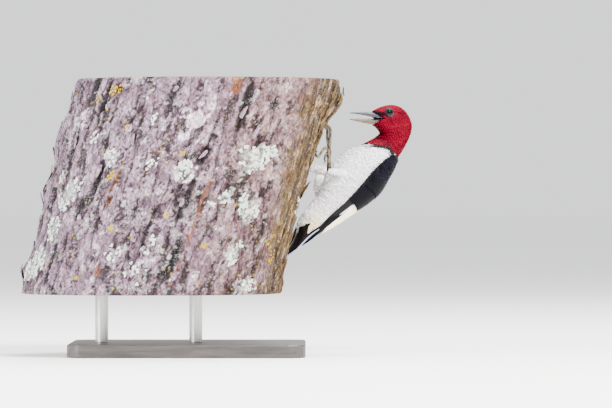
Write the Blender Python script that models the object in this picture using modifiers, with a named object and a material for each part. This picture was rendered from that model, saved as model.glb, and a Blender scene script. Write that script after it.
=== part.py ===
"""A red-headed woodpecker clinging to a short cut length of a leaning trunk, on a plain stand.

Metres, +Z up. The origin is the centre of the stand base's underside, on the floor.
The bird is drawn in its own frame, in millimetres: "away" runs level from the perch to the
bird's back, "left" is its left side and "up" is height above the floor.
"""

import math

import bmesh
import bpy
from mathutils import Matrix, Vector

MM = 0.001
GAP = 0.32  # between neighbouring pieces

# The stand
BASE_SIZE = (250.0, 200.0, 14.0)
BASE_CORNER = 18.0
ROD_RADIUS = 7.0
ROD_PLACES = ((-92.0, 0.0), (8.0, 0.0))

# The perch: a trunk that leans towards +X, cut level at both ends
PERCH_BOTTOM = 66.0
PERCH_TOP = 293.0
PERCH_FOOT_X = -40.3
PERCH_LEAN = 0.2588  # sideways run per unit of height
PERCH_RADII = (134.5, 131.0)
PERCH_SQUARENESS = 2.3
PERCH_ROWS = (90, 104, 118, 136, 156, 176, 194, 208, 220, 232, 243, 255, 268, 281)
# Swellings of the trunk: (angle in degrees, height, rise, angular reach, reach in height)
PERCH_SWELLINGS = (
    (8.0, 287.0, 8.0, 40.0, 42.0),
    (6.0, 268.0, 11.0, 12.0, 14.0),
    (12.0, 234.0, 3.2, 30.0, 16.0),
    (10.0, 196.0, 1.8, 25.0, 14.0),
    (15.0, 150.0, -2.5, 40.0, 34.0),
    (10.0, 66.0, 4.0, 40.0, 20.0),
    (23.0, 104.0, -4.2, 11.0, 16.0),
    (172.0, 228.0, 7.0, 22.0, 20.0),
    (185.0, 176.0, 6.0, 15.0, 12.0),
    (178.0, 92.0, 6.0, 18.0, 12.0),
    (250.0, 190.0, 4.0, 14.0, 90.0),
    (295.0, 150.0, 3.0, 10.0, 70.0),
    (330.0, 120.0, -3.0, 12.0, 60.0),
    (80.0, 180.0, 4.0, 16.0, 70.0),
    (125.0, 130.0, -4.0, 14.0, 80.0),
)

# The bird's frame
BIRD_PLACE = (105.8, 46.0)
BIRD_TURN = math.radians(24.0)

# The body's outline in its own plane: ((away, up) below, (away, up) above, half width)
STATIONS = (
    ((-9.0, 104.6), (-7.2, 102.6), 9.0),
    ((0.4, 114.0), (3.2, 110.9), 15.5),
    ((7.9, 126.4), (12.2, 117.4), 15.8),
    ((13.6, 142.6), (26.0, 125.2), 15.4),
    ((20.0, 153.4), (42.0, 134.6), 16.2),
    ((26.3, 160.9), (57.0, 143.4), 18.0),
    ((36.1, 169.6), (73.2, 154.0), 20.5),
    ((41.3, 182.5), (89.2, 163.6), 22.5),
    ((46.4, 195.5), (102.0, 173.2), 23.5),
    ((53.6, 206.3), (111.4, 185.0), 23.2),
    ((64.1, 214.9), (119.0, 195.8), 22.2),
    ((75.6, 221.9), (124.6, 204.3), 20.2),
    ((88.2, 225.7), (129.0, 210.7), 17.4),
    ((99.7, 231.1), (133.2, 215.6), 14.8),
    ((107.2, 234.4), (137.0, 222.1), 13.4),
    ((110.7, 237.6), (140.7, 229.8), 13.0),
    ((109.6, 240.6), (144.2, 238.8), 13.3),
    ((107.2, 243.0), (145.2, 246.6), 13.6),
    ((105.0, 244.8), (142.8, 254.5), 13.6),
    ((103.4, 245.9), (137.8, 261.2), 13.3),
    ((102.2, 246.5), (129.3, 267.0), 12.6),
    ((101.0, 247.0), (119.8, 268.6), 11.4),
    ((99.9, 247.3), (110.4, 266.5), 9.4),
    ((99.0, 247.5), (103.4, 263.5), 7.4),
    ((98.3, 247.6), (98.7, 260.9), 5.6),
)
RING = 24
TAIL_END, TORSO_END, NECK_END = 4.0, 12.0, 15.0  # station numbers of the thin cuts
CUT = 0.055  # half a thin cut, in stations

# Each wing's rows: station, lower edge and upper edge in degrees round the body, thickness
WING_ROWS = (
    (12.0, 120.0, 134.0, 1.8),
    (11.4, 111.0, 152.0, 3.2),
    (10.5, 104.0, 165.0, 4.2),
    (9.5, 99.0, 171.0, 4.6),
    (8.5, 96.0, 173.0, 4.8),
    (7.5, 93.0, 174.0, 4.6),
    (6.5, 92.0, 174.0, 4.2),
    (5.5, 95.0, 172.0, 3.6),
    (4.5, 102.0, 168.0, 3.0),
    (3.5, 114.0, 162.0, 2.4),
    (2.6, 126.0, 154.0, 1.8),
    (1.9, 136.0, 147.0, 1.1),
)
WING_ACROSS = 7

# The bill: (away, up) of its lower and upper line, half width, root to tip
BILL_UPPER = (
    ((110.0, 253.0), (110.0, 253.9), 6.9),
    ((104.5, 253.7), (104.5, 257.0), 6.0),
    ((98.9, 254.9), (98.9, 260.4), 4.9),
    ((90.0, 256.6), (90.0, 260.6), 3.5),
    ((81.0, 258.0), (81.0, 260.4), 2.1),
    ((73.5, 258.7), (73.5, 259.9), 0.8),
)
BILL_LOWER = (
    ((108.6, 249.6), (108.6, 251.2), 6.2),
    ((103.5, 248.3), (103.5, 251.5), 5.6),
    ((98.6, 247.9), (98.6, 251.7), 4.5),
    ((90.0, 249.0), (90.0, 252.0), 3.2),
    ((81.0, 250.6), (81.0, 252.4), 1.9),
    ((73.3, 252.0), (73.3, 253.1), 0.7),
)
TONGUE = (
    ((105.0, 252.1), (105.0, 253.1), 2.6),
    ((97.0, 252.3), (97.0, 253.3), 1.9),
    ((88.0, 252.7), (88.0, 253.5), 1.2),
    ((80.5, 253.0), (80.5, 253.6), 0.5),
)

# The eyes
EYE_STATION, EYE_ANGLE = 20.65, 107.0
EYE_RADIUS = 4.3
EYE_PROUD = 0.9  # how far an eye stands out of the head

# The legs: feathered thighs as ((away, left, up), radius) from the hip to just short of the heel
THIGHS = {
    "left": (
        ((64.0, 13.0, 193.0), 8.0),
        ((53.5, 17.8, 194.6), 6.4),
        ((46.0, 19.6, 195.6), 5.0),
        ((42.6, 20.2, 196.2), 3.6),
    ),
    "right": (
        ((60.0, -12.0, 190.0), 10.0),
        ((49.7, -15.3, 196.0), 7.6),
        ((39.0, -18.0, 199.0), 5.8),
        ((34.4, -18.9, 199.4), 4.0),
    ),
}
# The right thigh's hanging flank feathers: top, bottom, and the radius at each
FLANK_LOBE = ((47.0, -12.5, 191.0), (41.0, -12.0, 176.0), 9.0, 6.0)

# Bare shanks as ((away, left, up), radius) from the heel to the knuckle the toes spring from
SHANKS = {
    "left": (
        ((39.8, 20.2, 194.6), 1.8),
        ((39.6, 20.4, 199.4), 2.1),
        ((39.2, 20.8, 209.0), 1.7),
        ((39.5, 21.0, 219.2), 2.0),
    ),
    "right": (
        ((31.6, -19.0, 196.6), 1.8),
        ((31.2, -18.9, 201.0), 2.1),
        ((29.9, -18.4, 209.0), 1.7),
        ((29.2, -17.2, 217.4), 2.0),
    ),
}
TOE_RADIUS = 1.3
CLAW_LENGTH = 7.0
# Each toe from the knuckle: two points it passes, then where it rests on the bark, as the angle
# round the trunk and the height, or as a third point where it hangs free
TOES = {
    "left": {
        "inner_toe": ((37.6, 20.0, 232.0), (37.4, 19.8, 241.0), (16.8, 245.0)),
        "middle_toe": ((39.5, 23.5, 232.0), (38.6, 24.8, 241.6), (14.0, 246.0)),
        "outer_toe": ((33.7, 22.7, 221.2), (23.9, 26.0, 211.9), (12.0, 215.2)),
        "hind_toe": ((37.0, 20.0, 215.5), (35.6, 19.4, 212.6), (35.0, 19.0, 210.2)),
    },
    "right": {
        "inner_toe": ((30.4, -14.6, 224.5), (31.8, -10.6, 231.0), (27.0, 237.5)),
        "middle_toe": ((30.6, -18.7, 225.5), (31.6, -21.0, 233.0), (32.0, 240.0)),
        "outer_toe": ((27.5, -24.0, 219.5), (24.8, -31.0, 221.0), (38.0, 222.5)),
        "hind_toe": ((27.6, -14.2, 215.2), (25.8, -11.8, 213.2), (27.0, 210.8)),
    },
}

COLOURS = {
    "plumage_red": ((0.52, 0.015, 0.03), 0.7, 0.0),
    "plumage_white": ((0.82, 0.79, 0.76), 0.75, 0.0),
    "plumage_black": ((0.012, 0.013, 0.02), 0.45, 0.0),
    "bill_horn": ((0.42, 0.44, 0.5), 0.35, 0.0),
    "tongue_pink": ((0.55, 0.3, 0.28), 0.4, 0.0),
    "eye": ((0.02, 0.008, 0.006), 0.05, 0.0),
    "leg_scale": ((0.3, 0.29, 0.27), 0.6, 0.0),
    "claw": ((0.05, 0.045, 0.045), 0.35, 0.0),
    "bark": ((0.33, 0.26, 0.23), 0.9, 0.0),
    "stand_wood": ((0.035, 0.03, 0.028), 0.45, 0.0),
    "stand_metal": ((0.55, 0.54, 0.52), 0.3, 1.0),
}


# ---------------------------------------------------------------- scene and objects


def clear_scene():
    for obj in list(bpy.data.objects):
        bpy.data.objects.remove(obj, do_unlink=True)


def make_collection(name, hidden=False):
    collection = bpy.data.collections.new(name)
    bpy.context.scene.collection.children.link(collection)
    collection.hide_render = hidden
    return collection


def make_materials():
    made = {}
    for name, (colour, roughness, metallic) in COLOURS.items():
        material = bpy.data.materials.new(name)
        material.use_nodes = True
        shader = material.node_tree.nodes["Principled BSDF"]
        shader.inputs["Base Color"].default_value = (*colour, 1.0)
        shader.inputs["Roughness"].default_value = roughness
        shader.inputs["Metallic"].default_value = metallic
        made[name] = material
    return made


def add_object(name, data, material, collection, parent=None):
    obj = bpy.data.objects.new(name, data)
    collection.objects.link(obj)
    if material:
        data.materials.append(material)
    obj.parent = parent
    return obj


def add_cutter(name, data, parent=None):
    obj = add_object(name, data, None, CUTTERS, parent)
    obj.hide_render = True
    obj.display_type = "WIRE"
    return obj


def smooth(mesh, angle=50.0):
    mesh.shade_smooth()
    mesh.set_sharp_from_angle(angle=math.radians(angle))


def boolean(obj, cutter, operation):
    modifier = obj.modifiers.new(f"{operation.lower()}_{cutter.name}", "BOOLEAN")
    modifier.operation = operation
    modifier.object = cutter
    modifier.solver = "EXACT"
    return modifier


def solid_mesh(obj):
    """The mesh an object evaluates to, with loose caps welded on."""
    evaluated = obj.evaluated_get(bpy.context.evaluated_depsgraph_get())
    mesh = bpy.data.meshes.new_from_object(evaluated)
    bm = bmesh.new()
    bm.from_mesh(mesh)
    bmesh.ops.remove_doubles(bm, verts=bm.verts, dist=0.01 * MM)
    bmesh.ops.recalc_face_normals(bm, faces=bm.faces)
    bm.to_mesh(mesh)
    bm.free()
    return mesh


# ---------------------------------------------------------------- curves and lofts


def spline(values, at):
    """A smooth curve through rows of numbers, read at a fractional row number."""
    last = len(values) - 1
    at = min(max(at, 0.0), float(last))
    i = min(int(at), last - 1)
    t = at - i
    before, start = values[max(i - 1, 0)], values[i]
    end, after = values[i + 1], values[min(i + 2, last)]
    weights = (
        (-t + 2 * t * t - t**3) / 2,
        (2 - 5 * t * t + 3 * t**3) / 2,
        (t + 4 * t * t - 3 * t**3) / 2,
        (t**3 - t * t) / 2,
    )
    rows = (before, start, end, after)
    return [sum(w * row[k] for w, row in zip(weights, rows)) for k in range(len(start))]


def flat_row(station):
    (low_away, low_up), (high_away, high_up), half_width = station
    return (low_away, low_up, high_away, high_up, half_width)


BODY = [flat_row(station) for station in STATIONS]


def body_point(station, angle):
    """A point of the body: angle 0 is below, 90 its left side, 180 above, in degrees."""
    low_away, low_up, high_away, high_up, half_width = spline(BODY, station)
    turn = math.radians(angle)
    share = (1 - math.cos(turn)) / 2
    return Vector(
        (
            low_away + (high_away - low_away) * share,
            -half_width * math.sin(turn),
            low_up + (high_up - low_up) * share,
        )
    )


def body_normal(station, angle):
    along = body_point(station + 0.05, angle) - body_point(station - 0.05, angle)
    around = body_point(station, angle + 1.0) - body_point(station, angle - 1.0)
    return around.cross(along).normalized()


def raised_point(station, angle, rise):
    return body_point(station, angle) + body_normal(station, angle) * rise


def loft(rings):
    """A mesh through rings of points, in millimetres, with a flat cap on each end."""
    bm = bmesh.new()
    rows = [[bm.verts.new(point * MM) for point in ring] for ring in rings]
    count = len(rows[0])
    for row, after in zip(rows, rows[1:]):
        for k in range(count):
            n = (k + 1) % count
            bm.faces.new((row[k], row[n], after[n], after[k]))
    bm.faces.new(rows[0])
    bm.faces.new(rows[-1])
    bmesh.ops.recalc_face_normals(bm, faces=bm.faces)
    mesh = bpy.data.meshes.new("loft")
    bm.to_mesh(mesh)
    bm.free()
    smooth(mesh)
    return mesh


def body_ring(station, rise=0.0):
    angles = [360.0 * k / RING for k in range(RING)]
    if rise:
        return [raised_point(station, angle, rise) for angle in angles]
    return [body_point(station, angle) for angle in angles]


def stations_between(start, end, step):
    count = max(2, round((end - start) / step) + 1)
    return [start + (end - start) * k / (count - 1) for k in range(count)]


def body_piece(name, start, end, material, step=0.5):
    mesh = loft([body_ring(station) for station in stations_between(start, end, step)])
    return add_object(name, mesh, material, PARTS, BIRD)


def bill_ring(row, count=12, rise=0.0):
    low_away, low_up, high_away, high_up, half_width = row
    middle = Vector(((low_away + high_away) / 2, 0.0, (low_up + high_up) / 2))
    half = Vector(((high_away - low_away) / 2, 0.0, (high_up - low_up) / 2))
    half = half * ((half.length + rise) / half.length)
    return [
        middle
        - half * math.cos(math.tau * k / count)
        - Vector((0.0, (half_width + rise) * math.sin(math.tau * k / count), 0.0))
        for k in range(count)
    ]


def bill_mesh(stations, rise=0.0, steps=2):
    rows = [flat_row(station) for station in stations]
    count = (len(rows) - 1) * steps + 1
    rings = [bill_ring(spline(rows, k / steps), rise=rise) for k in range(count)]
    return loft(rings)


# ---------------------------------------------------------------- head, bill and eyes


def mouth_cutters():
    """The room the bill's roots take in the head, and the open mouth between them."""
    yield add_cutter("bill_room_upper", bill_mesh(BILL_UPPER, rise=GAP), BIRD)
    yield add_cutter("bill_room_lower", bill_mesh(BILL_LOWER, rise=GAP), BIRD)
    rows = []
    for upper, lower in zip(BILL_UPPER[:4], BILL_LOWER[:4]):
        floor = (lower[0][1] + lower[1][1]) / 2
        roof = (upper[0][1] + upper[1][1]) / 2
        rows.append(((lower[0][0], floor), (upper[0][0], roof), min(upper[2], lower[2])))
    yield add_cutter("mouth_opening", bill_mesh(rows), BIRD)


def eye_place(side):
    """The centre of an eye, in the bird's frame, with side 1 on the left and -1 on the right."""
    depth = EYE_PROUD - EYE_RADIUS
    left = raised_point(EYE_STATION, EYE_ANGLE, depth)
    return Vector((left.x, left.y * side, left.z))


def ball(radius, segments=12, rings=8):
    mesh = bpy.data.meshes.new("ball")
    bm = bmesh.new()
    bmesh.ops.create_uvsphere(bm, u_segments=segments, v_segments=rings, radius=radius * MM)
    bm.to_mesh(mesh)
    bm.free()
    smooth(mesh)
    return mesh


def make_head():
    head = body_piece("head", NECK_END + CUT, len(BODY) - 1, MATERIALS["plumage_red"], 0.75)
    for cutter in mouth_cutters():
        boolean(head, cutter, "DIFFERENCE")
    for name, stations, material in (
        ("bill_upper", BILL_UPPER, "bill_horn"),
        ("bill_lower", BILL_LOWER, "bill_horn"),
        ("tongue", TONGUE, "tongue_pink"),
    ):
        add_object(name, bill_mesh(stations), MATERIALS[material], PARTS, BIRD)
    for name, side in (("left", 1), ("right", -1)):
        eye = add_object(f"eye_{name}", ball(EYE_RADIUS), MATERIALS["eye"], PARTS, BIRD)
        eye.location = eye_place(side) * MM
        socket = add_cutter(f"eye_socket_{name}", ball(EYE_RADIUS + GAP), BIRD)
        socket.location = eye.location
        boolean(head, socket, "DIFFERENCE")


# ---------------------------------------------------------------- neck, torso, tail, wings


def make_body():
    body_piece("neck", TORSO_END + CUT, NECK_END - CUT, MATERIALS["plumage_red"], 0.75)
    body_piece("torso", TAIL_END + CUT, TORSO_END - CUT, MATERIALS["plumage_white"])
    body_piece("tail", 0.0, TAIL_END - CUT, MATERIALS["plumage_black"])


def wing_ring(row, side):
    """A closed section of a folded wing: its outer face, then back along its inner face."""
    station, low, high, thickness = row
    outer, inner = [], []
    for k in range(WING_ACROSS + 1):
        share = k / WING_ACROSS
        angle = low + (high - low) * share
        bulge = 0.35 + 0.65 * math.sin(math.pi * min(max(share, 0.06), 0.94)) ** 0.6
        outer.append(raised_point(station, angle, GAP + thickness * bulge))
        inner.append(raised_point(station, angle, GAP))
    ring = outer + inner[::-1]
    return [Vector((point.x, point.y * side, point.z)) for point in ring]


def make_wings():
    steps = 2
    for name, side in (("left", 1), ("right", -1)):
        count = (len(WING_ROWS) - 1) * steps + 1
        rings = [wing_ring(spline(WING_ROWS, k / steps), side) for k in range(count)]
        add_object(f"wing_{name}", loft(rings), MATERIALS["plumage_black"], PARTS, BIRD)


# ---------------------------------------------------------------- the perch


def perch_axis(up):
    return Vector((PERCH_FOOT_X + PERCH_LEAN * (up - PERCH_BOTTOM), 0.0, up))


def perch_point(angle, up, rise=0.0):
    """A point of the bark at an angle round the trunk, in degrees from +X, in world axes."""
    turn = math.radians(angle)
    across, deep = PERCH_RADII
    power = PERCH_SQUARENESS
    radius = (abs(math.cos(turn) / across) ** power + abs(math.sin(turn) / deep) ** power) ** (-1 / power)
    for at, height, swell, reach, tall in PERCH_SWELLINGS:
        off = (angle - at + 180.0) % 360.0 - 180.0
        radius += swell * math.exp(-((off / reach) ** 2) - ((up - height) / tall) ** 2)
    return perch_axis(up) + Vector((math.cos(turn), math.sin(turn), 0.0)) * (radius + rise)


def make_perch():
    around = 60
    rings = []
    for up in (PERCH_BOTTOM, *PERCH_ROWS, PERCH_TOP):
        rings.append([perch_point(360.0 * k / around, up) for k in range(around)])
    add_object("perch_trunk", loft(rings), MATERIALS["bark"], PARTS)


# ---------------------------------------------------------------- legs and feet


def to_bird(point):
    """A world point, in millimetres, in the bird's frame."""
    return BIRD_MATRIX.inverted() @ point


def in_bird(away, left, up):
    return Vector((away, -left, up))


def tube(name, points, radii, sides, steps):
    """A round tapering tube through points, in millimetres, as one closed mesh."""
    rows = [(*point, radius) for point, radius in zip(points, radii)]
    count = (len(rows) - 1) * steps + 1
    curve = bpy.data.curves.new(name, "CURVE")
    curve.dimensions = "3D"
    curve.bevel_depth = MM
    curve.bevel_resolution = sides // 2 - 2
    curve.use_fill_caps = True
    line = curve.splines.new("POLY")
    line.points.add(count - 1)
    for k in range(count):
        *spot, radius = spline(rows, k / steps)
        line.points[k].co = (*(Vector(spot) * MM), 1.0)
        line.points[k].radius = radius
    guide = add_cutter(f"{name}_guide", curve)
    mesh = solid_mesh(guide)
    bpy.data.objects.remove(guide)
    smooth(mesh)
    return mesh


def joined(name, meshes, material):
    """One solid from meshes that overlap, by Boolean unions."""
    obj = add_object(name, meshes[0], material, PARTS, BIRD)
    for number, mesh in enumerate(meshes[1:]):
        boolean(obj, add_cutter(f"{name}_limb_{number}", mesh, BIRD), "UNION")
    return obj


def limb(name, points, sides, steps):
    """A tube from ((away, left, up), radius) points."""
    return tube(name, [in_bird(*point) for point, _ in points], [r for _, r in points], sides, steps)


def lobe_mesh():
    top, bottom, wide, narrow = FLANK_LOBE
    start, end = in_bird(*top), in_bird(*bottom)
    points = [start, start.lerp(end, 0.5), end, end + (end - start) * 0.4]
    return tube("flank_lobe", points, [wide, wide * 0.9, narrow, 1.5], 12, 2)


def torso_clearance():
    """The torso a little swollen, which the thighs are cut back by."""
    start, end = TAIL_END - 0.6, TORSO_END
    rings = [body_ring(station, GAP) for station in stations_between(start, end, 0.5)]
    return add_cutter("torso_space", loft(rings), BIRD)


def make_thighs():
    space = torso_clearance()
    for side, points in THIGHS.items():
        meshes = [limb(f"thigh_{side}", points, 12, 2)]
        if side == "right":
            meshes.append(lobe_mesh())
        thigh = joined(f"thigh_{side}", meshes, MATERIALS["plumage_white"])
        boolean(thigh, space, "DIFFERENCE")


def toe_points(side, name):
    """The toe's line from the knuckle, in the bird's frame."""
    knuckle = in_bird(*SHANKS[side][-1][0])
    first, second, rest = TOES[side][name]
    if len(rest) == 3:
        return [knuckle, in_bird(*first), in_bird(*second), in_bird(*rest)]
    end = to_bird(perch_point(*rest, TOE_RADIUS + 4 * GAP))
    return [knuckle, in_bird(*first), in_bird(*second), end]


def into_bark(point):
    """The direction straight into the bark nearest a point of the bird's frame."""
    spot = BIRD_MATRIX @ point - perch_axis(point.z)
    angle = math.degrees(math.atan2(spot.y, spot.x))
    around = perch_point(angle + 2.0, point.z) - perch_point(angle - 2.0, point.z)
    rise = perch_point(angle, point.z + 4.0) - perch_point(angle, point.z - 4.0)
    return BIRD_MATRIX.to_3x3().inverted() @ rise.cross(around).normalized()


def claw_points(side, name):
    """A claw's line: on past the toe's end, over and down towards the bark."""
    *_, before, end = toe_points(side, name)
    inward = into_bark(end)
    ahead = (end - before).normalized()
    along = (ahead - inward * ahead.dot(inward)).normalized()
    start = end + ahead * (GAP + 0.15)
    points = [start, start + ahead * (CLAW_LENGTH * 0.12)]
    for reach, dip in ((0.36, -1.2), (0.62, -1.1), (0.8, -0.5)):
        points.append(start + along * (CLAW_LENGTH * reach) + inward * dip)
    return points


def make_feet():
    for side in TOES:
        meshes = [limb(f"shank_{side}", SHANKS[side], 8, 2)]
        for name in TOES[side]:
            radii = [TOE_RADIUS * 1.2, TOE_RADIUS, TOE_RADIUS, TOE_RADIUS * 0.9]
            meshes.append(tube(f"{name}_{side}", toe_points(side, name), radii, 6, 2))
            radii = [TOE_RADIUS * share for share in (0.8, 0.8, 0.7, 0.45, 0.25)]
            claw = tube(f"claw_{name}_{side}", claw_points(side, name), radii, 6, 1)
            add_object(f"claw_{name}_{side}", claw, MATERIALS["claw"], PARTS, BIRD)
        joined(f"foot_{side}", meshes, MATERIALS["leg_scale"])


# ---------------------------------------------------------------- the stand


def make_stand():
    length, depth, thickness = BASE_SIZE
    mesh = bpy.data.meshes.new("stand_base")
    bm = bmesh.new()
    size = Matrix.Diagonal((length * MM, depth * MM, thickness * MM, 1.0))
    bmesh.ops.create_cube(bm, size=1.0, matrix=size)
    corners = [edge for edge in bm.edges if abs((edge.verts[0].co - edge.verts[1].co).z) > MM]
    bmesh.ops.bevel(bm, geom=corners, offset=BASE_CORNER * MM, segments=6, affect="EDGES", profile=0.5)
    bm.to_mesh(mesh)
    bm.free()
    base = add_object("stand_base", mesh, MATERIALS["stand_wood"], PARTS)
    base.location.z = thickness / 2 * MM
    edge = base.modifiers.new("edge", "BEVEL")
    edge.width = 1.5 * MM
    edge.segments = 2
    for number, (x, y) in enumerate(ROD_PLACES, 1):
        height = PERCH_BOTTOM - thickness - 2 * GAP
        rod = bpy.data.meshes.new("rod")
        bm = bmesh.new()
        bmesh.ops.create_cone(
            bm,
            cap_ends=True,
            segments=24,
            radius1=ROD_RADIUS * MM,
            radius2=ROD_RADIUS * MM,
            depth=height * MM,
        )
        bm.to_mesh(rod)
        bm.free()
        smooth(rod)
        obj = add_object(f"stand_rod_{number}", rod, MATERIALS["stand_metal"], PARTS)
        obj.location = Vector((x, y, thickness + GAP + height / 2)) * MM


clear_scene()
PARTS = make_collection("woodpecker")
CUTTERS = make_collection("cutters")
MATERIALS = make_materials()
BIRD = bpy.data.objects.new("bird_frame", None)
PARTS.objects.link(BIRD)
BIRD.location = Vector((*BIRD_PLACE, 0.0)) * MM
BIRD.rotation_euler.z = BIRD_TURN
BIRD_MATRIX = Matrix.Translation((*BIRD_PLACE, 0.0)) @ Matrix.Rotation(BIRD_TURN, 4, "Z")

make_perch()
make_stand()
make_head()
make_body()
make_wings()
make_thighs()
make_feet()
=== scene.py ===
"""The looks of the woodpecker on its perch: skin, feathers, bill, eyes, feet, bark and stand.

Lengths are in millimetres until a mesh is made. The bird is drawn in its own frame: x runs level
away from the perch, y towards the bird's right and z up. Its body is a surface over two numbers:
the station, which runs from the tail tip to the bill, and the angle round the body in degrees,
0 below, 90 on its left side and 180 above.
"""

import math
from itertools import product

import bpy
import numpy as np
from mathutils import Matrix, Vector


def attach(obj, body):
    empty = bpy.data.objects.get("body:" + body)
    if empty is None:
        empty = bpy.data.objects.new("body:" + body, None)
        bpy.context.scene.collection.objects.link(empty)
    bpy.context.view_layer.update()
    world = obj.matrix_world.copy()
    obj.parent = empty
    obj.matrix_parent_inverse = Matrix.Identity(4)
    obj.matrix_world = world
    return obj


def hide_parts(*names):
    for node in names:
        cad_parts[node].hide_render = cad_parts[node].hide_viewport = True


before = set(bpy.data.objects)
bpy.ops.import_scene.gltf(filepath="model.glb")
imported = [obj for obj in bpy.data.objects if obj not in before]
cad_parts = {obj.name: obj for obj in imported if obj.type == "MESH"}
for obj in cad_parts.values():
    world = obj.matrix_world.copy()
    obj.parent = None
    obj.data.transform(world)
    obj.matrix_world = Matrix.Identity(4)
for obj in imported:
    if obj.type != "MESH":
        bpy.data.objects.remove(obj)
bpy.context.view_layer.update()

MM = 0.001
FULL = 360.0

# ---------------------------------------------------------------- driving sizes

# They are the CAD's own, but for the lower bill, which is drawn about 1 mm deeper here

BIRD_PLACE = np.array((105.8, 46.0, 0.0))
BIRD_TURN = math.radians(24.0)
TURN_COS, TURN_SIN = math.cos(BIRD_TURN), math.sin(BIRD_TURN)
BIRD_AXES = np.array(((TURN_COS, -TURN_SIN, 0), (TURN_SIN, TURN_COS, 0), (0, 0, 1)))

# The body's outline in its own plane: (x, z) below, (x, z) above, half width
BODY = np.array((
    (-9, 104.6, -7.2, 102.6, 9), (0.4, 114, 3.2, 110.9, 15.5), (7.9, 126.4, 12.2, 117.4, 15.8),
    (13.6, 142.6, 26, 125.2, 15.4), (20, 153.4, 42, 134.6, 16.2), (26.3, 160.9, 57, 143.4, 18),
    (36.1, 169.6, 73.2, 154, 20.5), (41.3, 182.5, 89.2, 163.6, 22.5), (46.4, 195.5, 102, 173.2, 23.5),
    (53.6, 206.3, 111.4, 185, 23.2), (64.1, 214.9, 119, 195.8, 22.2), (75.6, 221.9, 124.6, 204.3, 20.2),
    (88.2, 225.7, 129, 210.7, 17.4), (99.7, 231.1, 133.2, 215.6, 14.8),
    (107.2, 234.4, 137, 222.1, 13.4), (110.7, 237.6, 140.7, 229.8, 13),
    (109.6, 240.6, 144.2, 238.8, 13.3), (107.2, 243, 145.2, 246.6, 13.6),
    (105, 244.8, 142.8, 254.5, 13.6), (103.4, 245.9, 137.8, 261.2, 13.3),
    (102.2, 246.5, 129.3, 267, 12.6), (101, 247, 119.8, 268.6, 11.4), (99.9, 247.3, 110.4, 266.5, 9.4),
    (99, 247.5, 103.4, 263.5, 7.4), (98.3, 247.6, 98.7, 260.9, 5.6),
))
HEAD_FRONT = len(BODY) - 1.0  # the last station, round the root of the bill
# Where red meets white: the angle from below and the station
COLLAR = np.array((
    (0, 12), (20, 12.2), (57, 12.75), (90, 13.15), (112, 12.7), (140, 12.3), (180, 12.2),
))

# The folded wing: station, lower edge and upper edge in degrees, thickness
WING = np.array((
    (12, 120, 134, 1.8), (11.4, 111, 152, 3.2), (10.5, 104, 165, 4.2), (9.5, 99, 171, 4.6),
    (8.5, 96, 173, 4.8), (7.5, 93, 174, 4.6), (6.5, 92, 174, 4.2), (5.5, 95, 172, 3.6),
    (4.5, 102, 168, 3), (3.5, 114, 162, 2.4), (2.6, 126, 154, 1.8), (1.9, 136, 147, 1.1),
))

EYE_STATION, EYE_ANGLE = 20.65, 107.0
EYE_RADIUS = 4.3
EYE_PROUD = 0.9

# The bill: (x, z) of its lower and its upper line, half width, root to tip
BILL_UPPER = np.array((
    (111, 252.9, 111, 254.3, 7.6), (104.5, 253.7, 104.5, 258.2, 6.9), (98.9, 254.9, 98.9, 260.4, 4.9),
    (90, 256.6, 90, 260.6, 3.5), (81, 258, 81, 260.4, 2.1), (73.5, 258.7, 73.5, 259.9, 0.8),
))
BILL_LOWER = np.array((
    (110, 249.6, 110, 252.2, 7.2), (103.5, 247.5, 103.5, 251.8, 6.4), (98.6, 246.9, 98.6, 252, 4.5),
    (90, 248.3, 90, 252.2, 3.2), (81, 250.2, 81, 252.5, 1.9), (73.3, 252, 73.3, 253.1, 0.7),
))
TONGUE = np.array((
    (105, 252.1, 105, 253.1, 2.6), (97, 252.3, 97, 253.3, 1.9), (88, 252.7, 88, 253.5, 1.2),
    (80.5, 253, 80.5, 253.6, 0.5),
))

# Feathered thighs and bare shanks: x, y, z, radius
THIGHS = {
    "left": np.array((
        (64, -13, 193, 8), (53.5, -17.8, 194.6, 6.4), (46, -19.6, 195.6, 5), (42.6, -20.2, 196.2, 3.6),
    )),
    "right": np.array((
        (60, 12, 190, 10), (49.7, 15.3, 196, 7.6), (39, 18, 199, 5.8), (34.4, 18.9, 199.4, 4),
    )),
}
FLANK_LOBE = np.array((
    (47, 12.5, 191, 9), (44, 12.2, 183.5, 8.1), (41, 12, 176, 6), (38.6, 11.8, 170, 1.5),
))
SHANKS = {
    "left": np.array((
        (39.8, -20.2, 194.6, 1.8), (39.6, -20.4, 199.4, 2.1), (39.2, -20.8, 209, 1.7),
        (39.5, -21, 219.2, 2),
    )),
    "right": np.array((
        (31.6, 19, 196.6, 1.8), (31.2, 18.9, 201, 2.1), (29.9, 18.4, 209, 1.7), (29.2, 17.2, 217.4, 2),
    )),
}
TOE_RADIUS = 1.3
CLAW_LENGTH = 7.0
GAP = 0.32
# Each toe from the knuckle: two points it passes, then where it rests: the angle round the trunk
# and the height, or a third point where it hangs free
TOES = {
    "left": {
        "inner_toe": ((37.6, -20, 232), (37.4, -19.8, 241), (16.8, 245)),
        "middle_toe": ((39.5, -23.5, 232), (38.6, -24.8, 241.6), (14, 246)),
        "outer_toe": ((33.7, -22.7, 221.2), (23.9, -26, 211.9), (12, 215.2)),
        "hind_toe": ((37, -20, 215.5), (35.6, -19.4, 212.6), (35, -19, 210.2)),
    },
    "right": {
        "inner_toe": ((30.4, 14.6, 224.5), (31.8, 10.6, 231), (27, 237.5)),
        "middle_toe": ((30.6, 18.7, 225.5), (31.6, 21, 233), (32, 240)),
        "outer_toe": ((27.5, 24, 219.5), (24.8, 31, 221), (38, 222.5)),
        "hind_toe": ((27.6, 14.2, 215.2), (25.8, 11.8, 213.2), (27, 210.8)),
    },
}

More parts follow.
